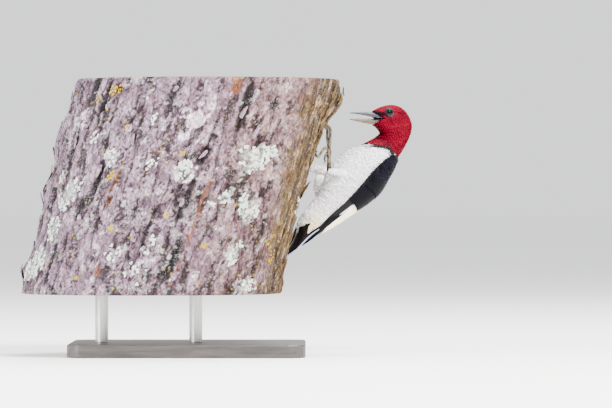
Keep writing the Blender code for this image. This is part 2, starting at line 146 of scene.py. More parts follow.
# The perch: a trunk that leans towards +X, cut level at both ends
PERCH_BOTTOM, PERCH_TOP = 66.0, 293.0
PERCH_FOOT_X = -40.3
PERCH_LEAN = 0.2588  # how far it goes towards +X for each millimetre up
PERCH_RADII = (134.5, 131.0)
PERCH_SQUARENESS = 2.3
# Swellings: angle in degrees, height, rise, angular reach, reach in height
PERCH_SWELLINGS = (
    (8, 287, 8, 40, 42), (6, 268, 11, 12, 14), (12, 234, 3.2, 30, 16), (10, 196, 1.8, 25, 14),
    (15, 150, -2.5, 40, 34), (10, 66, 4, 40, 20), (23, 104, -4.2, 11, 16), (172, 228, 7, 22, 20),
    (185, 176, 6, 15, 12), (178, 92, 6, 18, 12), (250, 190, 4, 14, 90), (295, 150, 3, 10, 70),
    (330, 120, -3, 12, 60), (80, 180, 4, 16, 70), (125, 130, -4, 14, 80),
)


# ---------------------------------------------------------------- colours


def srgb(red, green, blue):
    """A colour given as it looks on a screen, 0 to 255, as the linear values a shader takes."""
    values = np.array((red, green, blue)) / 255.0
    return np.where(values < 0.04045, values / 12.92, ((values + 0.055) / 1.055) ** 2.4)


RED = srgb(105, 0, 25)
RED_DEEP = srgb(80, 0, 20)
RED_BRIGHT = srgb(124, 1, 28)
RED_SMOKE = srgb(50, 24, 34)
RED_PAINTED_HIGHLIGHT = srgb(156, 32, 52)
WHITE = srgb(253, 249, 252)
WHITE_SHADE = srgb(240, 235, 243)
CREAM = srgb(248, 228, 190)
BLACK = srgb(7, 7, 11)
BLACK_BLUE = srgb(14, 14, 24)
BLACK_BROWN = srgb(20, 16, 14)
TAIL_EDGE = srgb(150, 150, 182)
VANE_BLACK = srgb(6, 6, 11)
CREAM_SHAFT = srgb(196, 172, 140)

HORN_PALE = srgb(50, 52, 65)
HORN_DARK = srgb(26, 23, 34)
HORN_LOWER = srgb(134, 104, 76)
HORN_EDGE = srgb(150, 156, 160)
CLAW_PALE, CLAW_DARK = srgb(58, 52, 52), srgb(20, 18, 20)
MOUTH_PAINTED_SHADE = srgb(58, 34, 38)
TONGUE_PINK, TONGUE_DARK = srgb(176, 118, 116), srgb(120, 70, 74)
IRIS, PUPIL, EYE_RIM = srgb(24, 12, 12), srgb(3, 2, 4), srgb(10, 8, 10)
LID, LID_DARK = srgb(37, 42, 52), srgb(14, 12, 16)
SCALE_GREY = srgb(106, 95, 80)
SCALE_BROWN = srgb(64, 50, 38)
SCALE_DARK = srgb(38, 32, 28)

BARK_MAUVE = srgb(108, 85, 98)
BARK_PALE = srgb(146, 124, 138)
BARK_DIM = srgb(46, 35, 40)
BARK_DARK = srgb(30, 24, 26)
BARK_TAN = srgb(86, 66, 34)
BARK_BEIGE = srgb(144, 121, 88)
BARK_TAN_DARK = srgb(34, 22, 12)
BARK_RUST = srgb(116, 68, 44)
LICHEN_PALE = srgb(190, 198, 188)
LICHEN_PINK = srgb(208, 190, 202)
LICHEN_YELLOW = srgb(168, 138, 0)
WOOD_PALE = srgb(164, 134, 96)
WOOD_LATE = srgb(116, 80, 50)
WOOD_HEART = srgb(120, 84, 56)
# What other colours are multiplied by: scaly bark next to the tan side, and wood in the bark's ring
WARM_TINT = np.array((0.88, 0.77, 0.62))
BARK_RING_TINT = np.array((0.3, 0.24, 0.22))
ASH_DARK, ASH_PALE, ASH_PORE = srgb(34, 30, 29), srgb(66, 58, 54), srgb(14, 12, 12)
STEEL_DARK, STEEL_PALE = srgb(150, 150, 148), srgb(206, 205, 202)
FLOOR_DARK, FLOOR_PALE = srgb(249, 249, 248), srgb(252, 252, 251)


# ---------------------------------------------------------------- noise


def scramble(x, y, z, seed):
    """A number from 0 to 1 for each whole-numbered place, the same on every run."""
    mask = 0xFFFFFFFF
    h = (x * 73856093) ^ (y * 19349663) ^ (z * 83492791) ^ (seed * 40503 + 977)
    h &= mask
    h = ((h ^ (h >> 15)) * 0x2C1B3C6D) & mask
    h = ((h ^ (h >> 12)) * 0x297A2D39) & mask
    h ^= h >> 15
    return h / mask


def noise(points, size, seed):
    """Smooth noise from -1 to 1 whose lumps are about size across."""
    at = np.asarray(points) / size
    cell = np.floor(at).astype(np.int64)
    t = at - cell
    t = t * t * (3 - 2 * t)
    total = 0.0
    for step in product((0, 1), repeat=3):
        weight = np.prod([t[..., k] if step[k] else 1 - t[..., k] for k in range(3)], axis=0)
        corner = [cell[..., k] + step[k] for k in range(3)]
        total = total + weight * scramble(*corner, seed)
    return total * 2 - 1


def fractal(points, size, seed, octaves):
    """Noise with finer noise added on it, from about -1 to 1."""
    total, strength = 0.0, 0.5
    for octave in range(octaves):
        total = total + noise(points, size / 2**octave, seed + 17 * octave) * strength
        strength *= 0.55
    return total * 1.4


def cracks(points, size, seed):
    """For each point: how far it is from the border of its cell, and the cell's own number."""
    at = np.asarray(points) / size
    base = np.floor(at).astype(np.int64)
    nearest = np.full(base.shape[:-1], 9.0)
    second = nearest.copy()
    own = np.zeros(base.shape[:-1])
    for step in product((-1, 0, 1), repeat=3):
        cell = [base[..., k] + step[k] for k in range(3)]
        seat = np.stack([cell[k] + scramble(*cell, seed + k) for k in range(3)], -1)
        gap = np.linalg.norm(at - seat, axis=-1)
        closer = gap < nearest
        second = np.where(closer, nearest, np.minimum(second, gap))
        own = np.where(closer, scramble(*cell, seed + 9), own)
        nearest = np.where(closer, gap, nearest)
    return second - nearest, own


def step_up(value, low, high):
    """0 below low, 1 above high and a smooth rise between them."""
    t = np.clip((value - low) / (high - low), 0.0, 1.0)
    return t * t * (3 - 2 * t)


def turns(count):
    """Angles spread evenly round a circle, in radians."""
    return np.linspace(0.0, math.tau, count, endpoint=False)


def off_angle(angle, at):
    """How many degrees an angle lies past another one, from -180 to 180."""
    return (angle - at + 180.0) % FULL - 180.0


def blend(first, second, share):
    """Colours part of the way from the first to the second."""
    share = np.asarray(share)[..., None]
    return first * (1 - share) + second * share


# ---------------------------------------------------------------- curves and surfaces


def rows_at(rows, at):
    """A smooth curve through rows of numbers, read at fractional row numbers."""
    last = len(rows) - 1
    at = np.clip(np.asarray(at, float), 0.0, last)
    i = np.minimum(at.astype(int), last - 1)
    t = (at - i)[..., None]
    before, start = rows[np.maximum(i - 1, 0)], rows[i]
    end, after = rows[i + 1], rows[np.minimum(i + 2, last)]
    square = (2 * before - 5 * start + 4 * end - after) * t**2
    cube = (3 * start - before - 3 * end + after) * t**3
    return (2 * start + (end - before) * t + square + cube) / 2


def unit(vectors):
    return vectors / np.maximum(np.linalg.norm(vectors, axis=-1, keepdims=True), 1e-9)


class Surface:
    """A surface over two numbers, here called s and angle."""

    def __init__(self, point, reach_angle=1.0):
        self.point = point
        self.reach_s = 0.04
        self.reach_angle = reach_angle

    def slopes(self, s, angle):
        along = self.point(s + self.reach_s, angle) - self.point(s - self.reach_s, angle)
        around = self.point(s, angle + self.reach_angle) - self.point(s, angle - self.reach_angle)
        return along / (2 * self.reach_s), around / (2 * self.reach_angle)

    def normal(self, s, angle):
        along, around = self.slopes(s, angle)
        return unit(np.cross(around, along))

    def raised(self, s, angle, rise):
        return self.point(s, angle) + self.normal(s, angle) * np.asarray(rise)[..., None]

    def moved(self, s, angle, tail_ward, side_ward):
        """The numbers of the place that lies so far along and across the lie of the coat."""
        along, around = self.slopes(s, angle)
        lie = -unit(along)
        across = unit(around - lie * np.sum(around * lie, -1, keepdims=True))
        want = lie[..., None, :] * tail_ward[..., None] + across[..., None, :] * side_ward[..., None]
        aa = np.sum(along * along, -1)[..., None]
        rr = np.sum(around * around, -1)[..., None]
        ar = np.sum(along * around, -1)[..., None]
        wa = np.sum(want * along[..., None, :], -1)
        wr = np.sum(want * around[..., None, :], -1)
        det = np.maximum(aa * rr - ar * ar, 1e-9)
        return s[..., None] + (wa * rr - wr * ar) / det, angle[..., None] + (wr * aa - wa * ar) / det


def body_point(s, angle):
    row = rows_at(BODY, s)
    turn = np.radians(angle)
    share = (1 - np.cos(turn)) / 2
    x = row[..., 0] + (row[..., 2] - row[..., 0]) * share
    z = row[..., 1] + (row[..., 3] - row[..., 1]) * share
    return np.stack(np.broadcast_arrays(x, -row[..., 4] * np.sin(turn), z), -1)


OUTLINE = Surface(body_point)


def tube_surface(rows):
    """A tapering tube through rows of x, y, z and radius, over row number and angle."""

    def point(s, angle):
        row = rows_at(rows, s)
        along = unit(rows_at(rows, s + 0.02)[..., :3] - rows_at(rows, s - 0.02)[..., :3])
        up = np.broadcast_to(np.array((0.0, 0.2, 1.0)), along.shape)
        side = unit(np.cross(along, up))
        over = np.cross(along, side)
        turn = np.radians(angle)[..., None]
        return row[..., :3] + (side * np.cos(turn) + over * np.sin(turn)) * row[..., 3:4]

    return Surface(point)


# ---------------------------------------------------------------- meshes


def to_world(points):
    """Points of the bird's frame in the world's, still in millimetres."""
    return points @ BIRD_AXES.T + BIRD_PLACE


def from_world(points):
    """Points of the world in the bird's frame."""
    return (points - BIRD_PLACE) @ BIRD_AXES


def placed_in_scene(name, data):
    """A new object of the scene that shows the given mesh, lamp or camera."""
    obj = bpy.data.objects.new(name, data)
    bpy.context.scene.collection.objects.link(obj)
    return obj


def piece(name, points, faces, tint, material, slot, uv=None, replaces=(), hard=None):
    """A mesh object from arrays, in world millimetres, riding with the part.

    hard says which faces are shaded flat, such as the hidden undersides of thin feathers.
    """
    points = points.reshape(-1, 3)
    size = faces.shape[-1]
    faces = faces.reshape(-1, size)
    mesh = bpy.data.meshes.new(name)
    mesh.vertices.add(len(points))
    mesh.vertices.foreach_set("co", (points * MM).astype(np.float32).ravel())
    mesh.loops.add(faces.size)
    mesh.loops.foreach_set("vertex_index", faces.astype(np.int32).ravel())
    mesh.polygons.add(len(faces))
    mesh.polygons.foreach_set("loop_start", np.arange(0, faces.size, size, dtype=np.int32))
    mesh.update(calc_edges=True)
    flat = np.zeros(len(faces), bool) if hard is None else hard
    mesh.polygons.foreach_set("use_smooth", ~flat)
    colours = np.ones((len(points), 4), np.float32)
    colours[:, :3] = np.clip(tint.reshape(-1, 3), 0.0, 1.0)
    layer = mesh.color_attributes.new(name="Tint", type="FLOAT_COLOR", domain="POINT")
    layer.data.foreach_set("color", colours.ravel())
    if uv is not None:
        layer = mesh.uv_layers.new(name="OFBake")
        layer.data.foreach_set("uv", uv.reshape(-1, 2)[faces.ravel()].astype(np.float32).ravel())
    mesh.materials.append(material)
    obj = placed_in_scene(name, mesh)
    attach(obj, "root")
    if replaces:
        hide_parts(*replaces)
    return obj


def bird_piece(name, points, faces, tint, material, slot, **more):
    """A piece whose points are given in the bird's frame."""
    return piece(name, to_world(points), faces, tint, material, slot, **more)


def round_faces(points):
    """The quads of a grid of points stored row by row, each row a closed ring."""
    rows, columns = points.shape[:2]
    r, c = np.meshgrid(np.arange(rows - 1), np.arange(columns), indexing="ij")
    here, beside = r * columns + c, r * columns + (c + 1) % columns
    return np.stack((here, beside, beside + columns, here + columns), -1).reshape(-1, 4)


def drawn_in(ring, share, middle=None):
    """A ring of points once more, as a row of a grid, shrunk to a share of its size."""
    middle = ring.mean(axis=0) if middle is None else middle
    return ring[None] * share + middle * (1 - share)


def joined(parts):
    """Several (points, faces, tint) sets with faces of one size, as one set."""
    points, faces, tints, start = [], [], [], 0
    for part_points, part_faces, part_tint in parts:
        flat = part_points.reshape(-1, 3)
        points.append(flat)
        tints.append(np.broadcast_to(part_tint, part_points.shape).reshape(-1, 3))
        faces.append(part_faces + start)
        start += len(flat)
    return np.concatenate(points), np.concatenate(faces), np.concatenate(tints)


# ---------------------------------------------------------------- materials


class Finish:
    """A material built on one Principled shader, with short ways to add nodes to it."""

    def __init__(self, name, **values):
        self.material = bpy.data.materials.new(name)
        self.material.use_nodes = True
        self.tree = self.material.node_tree
        self.shader = self.tree.nodes["Principled BSDF"]
        for label, value in values.items():
            self.shader.inputs[label.replace("_", " ")].default_value = value
        self.place = self.node("ShaderNodeTexCoord").outputs["Object"]

    def node(self, kind, **settings):
        made = self.tree.nodes.new(kind)
        for label, value in settings.items():
            setattr(made, label, value)
        return made

    def feed(self, socket, value):
        if isinstance(value, bpy.types.NodeSocket):
            self.tree.links.new(value, socket)
        elif hasattr(value, "__len__") and len(value) == 3 and socket.type == "RGBA":
            socket.default_value = (*value, 1.0)
        else:
            socket.default_value = value

    def stretched(self, x, y, z):
        made = self.node("ShaderNodeMapping")
        self.feed(made.inputs["Vector"], self.place)
        made.inputs["Scale"].default_value = (x, y, z)
        return made.outputs["Vector"]

    def noise(self, scale, detail=3.0, vector=None, rough=0.5):
        made = self.node("ShaderNodeTexNoise")
        self.feed(made.inputs["Vector"], vector or self.place)
        made.inputs["Scale"].default_value = scale
        made.inputs["Detail"].default_value = detail
        made.inputs["Roughness"].default_value = rough
        return made.outputs["Fac"]

    def cells(self, scale, vector=None):
        made = self.node("ShaderNodeTexVoronoi")
        self.feed(made.inputs["Vector"], vector or self.place)
        made.inputs["Scale"].default_value = scale
        return made.outputs["Distance"]

    def attribute(self, name, output="Color"):
        return self.node("ShaderNodeAttribute", attribute_name=name).outputs[output]

    def maths(self, operation, first, second=0.0):
        made = self.node("ShaderNodeMath", operation=operation)
        self.feed(made.inputs[0], first)
        self.feed(made.inputs[1], second)
        return made.outputs[0]

    def span(self, value, low, high, to_low=0.0, to_high=1.0):
        made = self.node("ShaderNodeMapRange")
        self.feed(made.inputs["Value"], value)
        ends = {"From Min": low, "From Max": high, "To Min": to_low, "To Max": to_high}
        for label, number in ends.items():
            made.inputs[label].default_value = number
        return made.outputs["Result"]

    def mix(self, share, first, second, blend_type="MIX"):
        made = self.node("ShaderNodeMix", data_type="RGBA", blend_type=blend_type)
        colours = [socket for socket in made.inputs if socket.type == "RGBA"]
        self.feed(made.inputs["Factor"], share)
        self.feed(colours[0], first)
        self.feed(colours[1], second)
        return next(socket for socket in made.outputs if socket.type == "RGBA")

    def shaded(self, colour, value, low, high):
        """The colour times a grey that runs from low to high with the value."""
        grey = self.span(value, 0.3, 0.7, low, high)
        made = self.node("ShaderNodeCombineColor")
        for socket in made.inputs:
            self.feed(socket, grey)
        return self.mix(1.0, colour, made.outputs["Color"], "MULTIPLY")

    def colour(self, value):
        self.feed(self.shader.inputs["Base Color"], value)

    def roughness(self, value, low, high):
        """Roughness that runs from low to high with the value."""
        self.feed(self.shader.inputs["Roughness"], self.span(value, 0.3, 0.7, low, high))

    def bump(self, height, strength, distance):
        made = self.node("ShaderNodeBump")
        made.inputs["Strength"].default_value = strength
        made.inputs["Distance"].default_value = distance * MM
        self.feed(made.inputs["Height"], height)
        self.tree.links.new(made.outputs["Normal"], self.shader.inputs["Normal"])


PLUMAGE_GRAIN = 1400.0


def plumage_finish(name, roughness, sheen, gloss):
    """Feathers: the colour each one carries, faintly uneven, with a fine barb grain."""
    made = Finish(name, Sheen_Weight=sheen, Sheen_Roughness=0.5, Specular_IOR_Level=gloss)
    uneven = made.noise(PLUMAGE_GRAIN, 2.0)
    made.colour(made.shaded(made.attribute("Tint"), uneven, 0.9, 1.08))
    made.roughness(uneven, roughness - 0.08, roughness + 0.08)
    made.bump(made.noise(PLUMAGE_GRAIN * 1.6, 2.0), 0.25, 0.08)
    return made.material


def horn_finish(name, roughness, grain):
    """Bill and claws: grown in long fine layers, smooth and a little waxy."""
    made = Finish(name, Specular_IOR_Level=0.2, Coat_Weight=0.08, Coat_Roughness=0.3)
    layers = made.noise(grain, 4.0, made.stretched(0.25, 1.0, 1.6))
    made.colour(made.shaded(made.attribute("Tint"), layers, 0.82, 1.12))
    made.roughness(layers, roughness - 0.07, roughness + 0.1)
    made.bump(layers, 0.3, 0.15)
    return made.material


def skin_finish(name, roughness, grain, depth):
    """Bare skin and leg scales: the colour of each place, pebbled."""
    made = Finish(name, Specular_IOR_Level=0.2)
    pebbles = made.cells(grain)
    made.colour(made.shaded(made.attribute("Tint"), made.noise(grain * 0.4, 3.0), 0.8, 1.15))
    rough = made.span(pebbles, 0.0, 0.8, roughness - 0.1, roughness + 0.1)
    made.feed(made.shader.inputs["Roughness"], rough)
    made.bump(pebbles, 0.4, depth)
    return made.material


def eye_finish():
    gloss = dict(Specular_IOR_Level=0.07, Coat_Weight=0.02, Coat_Roughness=0.03)
    made = Finish("eyeball", Roughness=0.05, **gloss)
    streaks = made.noise(2600.0, 3.0)
    made.colour(made.shaded(made.attribute("Tint"), streaks, 0.75, 1.3))
    return made.material


def bark_finish():
    """Bark: the colour of each place, broken up by fine flecks of lichen and by dark pores, which are
    painted shade of small pits.
    """
    made = Finish("bark_and_lichen", Specular_IOR_Level=0.15)
    base = made.attribute("Tint")
    grain = made.noise(560.0, 5.0, made.stretched(1.0, 1.0, 0.5), 0.68)
    coarse = made.noise(190.0, 4.0, made.stretched(1.0, 1.0, 0.6), 0.6)
    speck = made.noise(760.0, 2.0)
    colour = made.shaded(made.shaded(base, grain, 0.2, 1.7), coarse, 0.6, 1.36)
    # painted shade: dark pores, as the shade of small pits, most where the grain is low
    pores = made.span(made.cells(360.0, made.stretched(1.0, 1.0, 0.7)), 0.0, 0.24, 0.8, 0.0)
    colour = made.mix(made.maths("MULTIPLY", pores, made.span(grain, 0.58, 0.44)), colour, BARK_DARK)
    patchy = made.span(made.noise(70.0), 0.46, 0.62)
    flecks = made.maths("MULTIPLY", made.span(speck, 0.56, 0.66), patchy)
    colour = made.mix(made.maths("MULTIPLY", flecks, 0.24), colour, LICHEN_PALE)
    made.colour(colour)
    made.roughness(grain, 0.8, 0.98)
    made.bump(made.maths("ADD", grain, made.maths("MULTIPLY", speck, 0.4)), 0.9, 1.2)
    return made.material


def end_grain_finish():
    """A sawn end: growth rings counted from the bark inwards, heartwood and saw marks."""
    made = Finish("sawn_end_grain", Specular_IOR_Level=0.2, Roughness=0.85)
    depth = made.attribute("Ring", "Fac")
    wavy = made.maths("ADD", depth, made.span(made.noise(45.0, 4.0), 0.0, 1.0, -4.0, 4.0))
    ring = made.maths("FRACT", made.maths("MULTIPLY", wavy, 0.3))
    strong = made.span(made.noise(30.0), 0.3, 0.7, 0.45, 0.95)
    late = made.maths("MULTIPLY", made.span(ring, 0.4, 0.96), strong)
    pale = made.shaded(WOOD_PALE, made.noise(240.0, 5.0), 0.7, 1.15)
    colour = made.mix(made.span(wavy, 48.0, 60.0, 0.0, 0.6), pale, WOOD_HEART)
    colour = made.mix(late, colour, WOOD_LATE)
    saw = made.noise(900.0, 2.0, made.stretched(0.08, 1.0, 1.0))
    colour = made.shaded(colour, saw, 0.86, 1.08)
    made.colour(made.mix(1.0, colour, made.attribute("Tint"), "MULTIPLY"))
    made.bump(made.maths("ADD", saw, made.maths("MULTIPLY", late, 0.5)), 0.5, 0.4)
    return made.material


def stand_wood_finish():
    made = Finish("black_stained_ash", Coat_Weight=0.25, Coat_Roughness=0.3)
    grain = made.noise(160.0, 6.0, made.stretched(0.12, 1.0, 1.0), 0.6)
    pores = made.span(made.noise(900.0, 2.0, made.stretched(0.06, 1.0, 1.0)), 0.58, 0.7)
    colour = made.mix(made.span(grain, 0.35, 0.7), ASH_DARK, ASH_PALE)
    made.colour(made.mix(made.maths("MULTIPLY", pores, 0.7), colour, ASH_PORE))
    made.roughness(grain, 0.38, 0.55)
    made.bump(made.maths("SUBTRACT", grain, pores), 0.3, 0.25)
    return made.material


def stand_metal_finish():
    made = Finish("brushed_steel", Metallic=1.0)
    brushed = made.noise(1200.0, 3.0, made.stretched(1.0, 1.0, 0.04))
    made.colour(made.mix(made.span(brushed, 0.3, 0.7), STEEL_DARK, STEEL_PALE))
    made.roughness(brushed, 0.24, 0.42)
    made.bump(brushed, 0.15, 0.1)
    return made.material


def floor_finish():
    made = Finish("pale_floor", Specular_IOR_Level=0.2, Roughness=0.85)
    fine = made.noise(300.0, 3.0)
    made.colour(made.mix(made.span(fine, 0.3, 0.7), FLOOR_DARK, FLOOR_PALE))
    return made.material


# ---------------------------------------------------------------- the perch


# Furrows of the bark, with painted shade in them: angle, height, half length, half width in mm, lean,
# depth
FURROWS = (
    (216, 279, 20, 6.1, 3, 5), (225, 262, 26, 3.4, 3, 3), (259, 268, 22, 4.1, 0, 3),
    (292, 262, 26, 5.4, 2, 3.5), (233, 184, 26, 4.7, 3, 4.5), (228, 156, 14, 4.1, 2, 3.5),
    (279, 211, 11, 6.8, 2, 5), (277, 165, 24, 4.7, 4, 5), (278, 100, 22, 5.4, 5, 4.5),
    (263, 130, 28, 2.4, 4, 2.5), (212, 210, 24, 4.1, 2, 3.5), (243, 178, 20, 2.7, 3, 3),
    (205, 150, 34, 4.1, 2, 4), (218, 100, 26, 3.5, 3, 3), (247, 236, 18, 2.4, 3, 2.2),
    (350, 243, 14, 2.2, 4, 2), (354, 227, 14, 8, 3, 1.4), (351, 200, 13, 8, 2, 1.4),
    (344, 262, 12, 1.6, 3, 1.6), (358, 275, 12, 8, 0, 1.6), (352, 168, 10, 7, 3, 1.4),
    (349, 112, 16, 1.8, 3, 1.6), (14, 160, 20, 2.4, 2, 2), (28, 190, 22, 2.4, 2, 2),
    (50, 230, 24, 3, 2, 2.4), (64, 120, 26, 3, 2, 2.6),
)
# Strips where the outer bark has come away: angle, height, half length, half width in mm, lean
RUST_STRIPS = (
    (242.6, 176, 24, 1.7, 4), (283.5, 150, 38, 1.9, 4), (285.5, 285, 12, 6, 0), (281, 92, 18, 1.4, 3),
    (300, 108, 24, 1, 2), (245, 92, 7, 3, 0),
)
# Lichen: angle, height, radius in mm, how thickly it grows
PALE_LICHENS = (
    (304, 207, 22, 0.85), (298, 211, 15, 0.9), (310, 214, 13, 0.8), (294, 168, 10, 1),
    (306.6, 156, 19, 1), (303, 166, 9, 0.8), (304.3, 106, 13, 0.9), (307, 117, 9, 0.8),
    (317, 71, 20, 1), (218, 168, 21, 0.9), (223, 180, 12, 0.8), (273, 194, 18, 0.8),
    (238, 209, 13, 0.8), (226, 230, 10, 0.7), (213, 135, 20, 0.8), (206, 100, 26, 0.9),
    (198, 92, 20, 0.9), (209, 190, 11, 0.8), (258, 205, 14, 0.55), (266, 118, 15, 0.55),
    (262, 90, 20, 0.5), (250, 110, 14, 0.45), (288, 160, 8, 0.6), (256, 252, 16, 0.35),
    (95, 232, 24, 0.9), (62, 150, 22, 0.9), (120, 110, 26, 0.8), (150, 200, 24, 0.8),
    (348, 160, 14, 0.45),
)
PINK_LICHENS = (
    (272, 250, 22, 0.9), (268, 232, 15, 0.7), (277, 262, 14, 0.8), (214.5, 251, 13, 1),
    (276, 226, 12, 0.6), (290, 88, 12, 0.7), (130, 250, 18, 0.6),
)
YELLOW_LICHENS = (
    (242, 241, 5, 1), (240, 246, 3.5, 0.9), (269.5, 213.7, 4.5, 1), (241, 190, 7, 0.7),
    (269.6, 149.5, 3.6, 1), (299.3, 160, 3.6, 0.8), (290.2, 118.4, 5, 1), (231, 278, 12, 0.6),
    (222, 268, 9, 0.5), (326, 122, 12, 0.55), (330, 106, 12, 0.45), (247, 136, 4, 0.9),
    (228, 128, 4, 0.8), (236, 84, 4.5, 0.8), (100, 180, 8, 0.7), (170, 150, 10, 0.6),
)
BARK_SEEN, BARK_UNSEEN, BARK_ROWS = 500, 260, 270  # columns in front and behind, and rows
BARK_FRONT = 170.0  # the columns are closer together from this angle on
HIGHEST_BARK = 3.2
TAN_FROM, TAN_FULL = 316.0, 332.0  # the smoother tan side starts and is full, in degrees
TAN_FAR, TAN_END = 40.0, 66.0  # it starts to fade and is gone


def perch_axis(up):
    """The x of the middle of the trunk at a height."""
    return PERCH_FOOT_X + PERCH_LEAN * (up - PERCH_BOTTOM)


def perch_radius(angle, up):
    """How far the plain trunk reaches from its middle, at an angle and a height."""
    turn = np.radians(angle)
    across, deep = PERCH_RADII
    power = PERCH_SQUARENESS
    radius = np.abs(np.cos(turn) / across) ** power + np.abs(np.sin(turn) / deep) ** power
    radius = radius ** (-1 / power)
    for at, height, swell, reach, tall in PERCH_SWELLINGS:
        off = off_angle(angle, at)
        radius = radius + swell * np.exp(-((off / reach) ** 2) - ((up - height) / tall) ** 2)
    return radius


def perch_point(angle, up, rise=0.0):
    """A place on the trunk, or a little way out from it."""
    turn = np.radians(angle)
    radius = perch_radius(angle, up) + rise
    up = np.broadcast_to(up, radius.shape)
    return np.stack((perch_axis(up) + np.cos(turn) * radius, np.sin(turn) * radius, up), -1)


def across_bark(angle, at):
    """How many millimetres round the trunk an angle lies past another one."""
    return off_angle(angle, at) * math.radians(1.0) * PERCH_RADII[0]


def near_mark(angle, up, mark, wobble):
    """How far a place is inside a long mark: 1 on its middle line, 0 outside it."""
    at, height, length, width, lean = mark[:5]
    off = across_bark(angle, at)
    along = (up - height) / length
    across = (off + wobble - lean * along) / width
    return np.exp(-(across**2)) * step_up(1.15 - np.abs(along), 0.0, 0.5)


def near_spot(angle, up, spot, ragged):
    """How far a place is inside a lobed patch: 1 well inside, 0 outside."""
    at, height, radius, thick = spot
    far = np.hypot(across_bark(angle, at), up - height) / radius
    return step_up(thick - 0.62 - far + ragged, 0.0, 0.12)


def tan_side(angle, up, ragged):
    """1 on the smoother tan side of the trunk, which faces the bird, and 0 on the scaly side."""
    turn = (angle + ragged * 7.0 + (up - 180.0) * 0.045) % FULL
    rising = step_up(turn, TAN_FROM, TAN_FULL)
    falling = 1.0 - step_up(turn, TAN_FAR, TAN_END)
    return np.where(turn > 180.0, rising, falling)


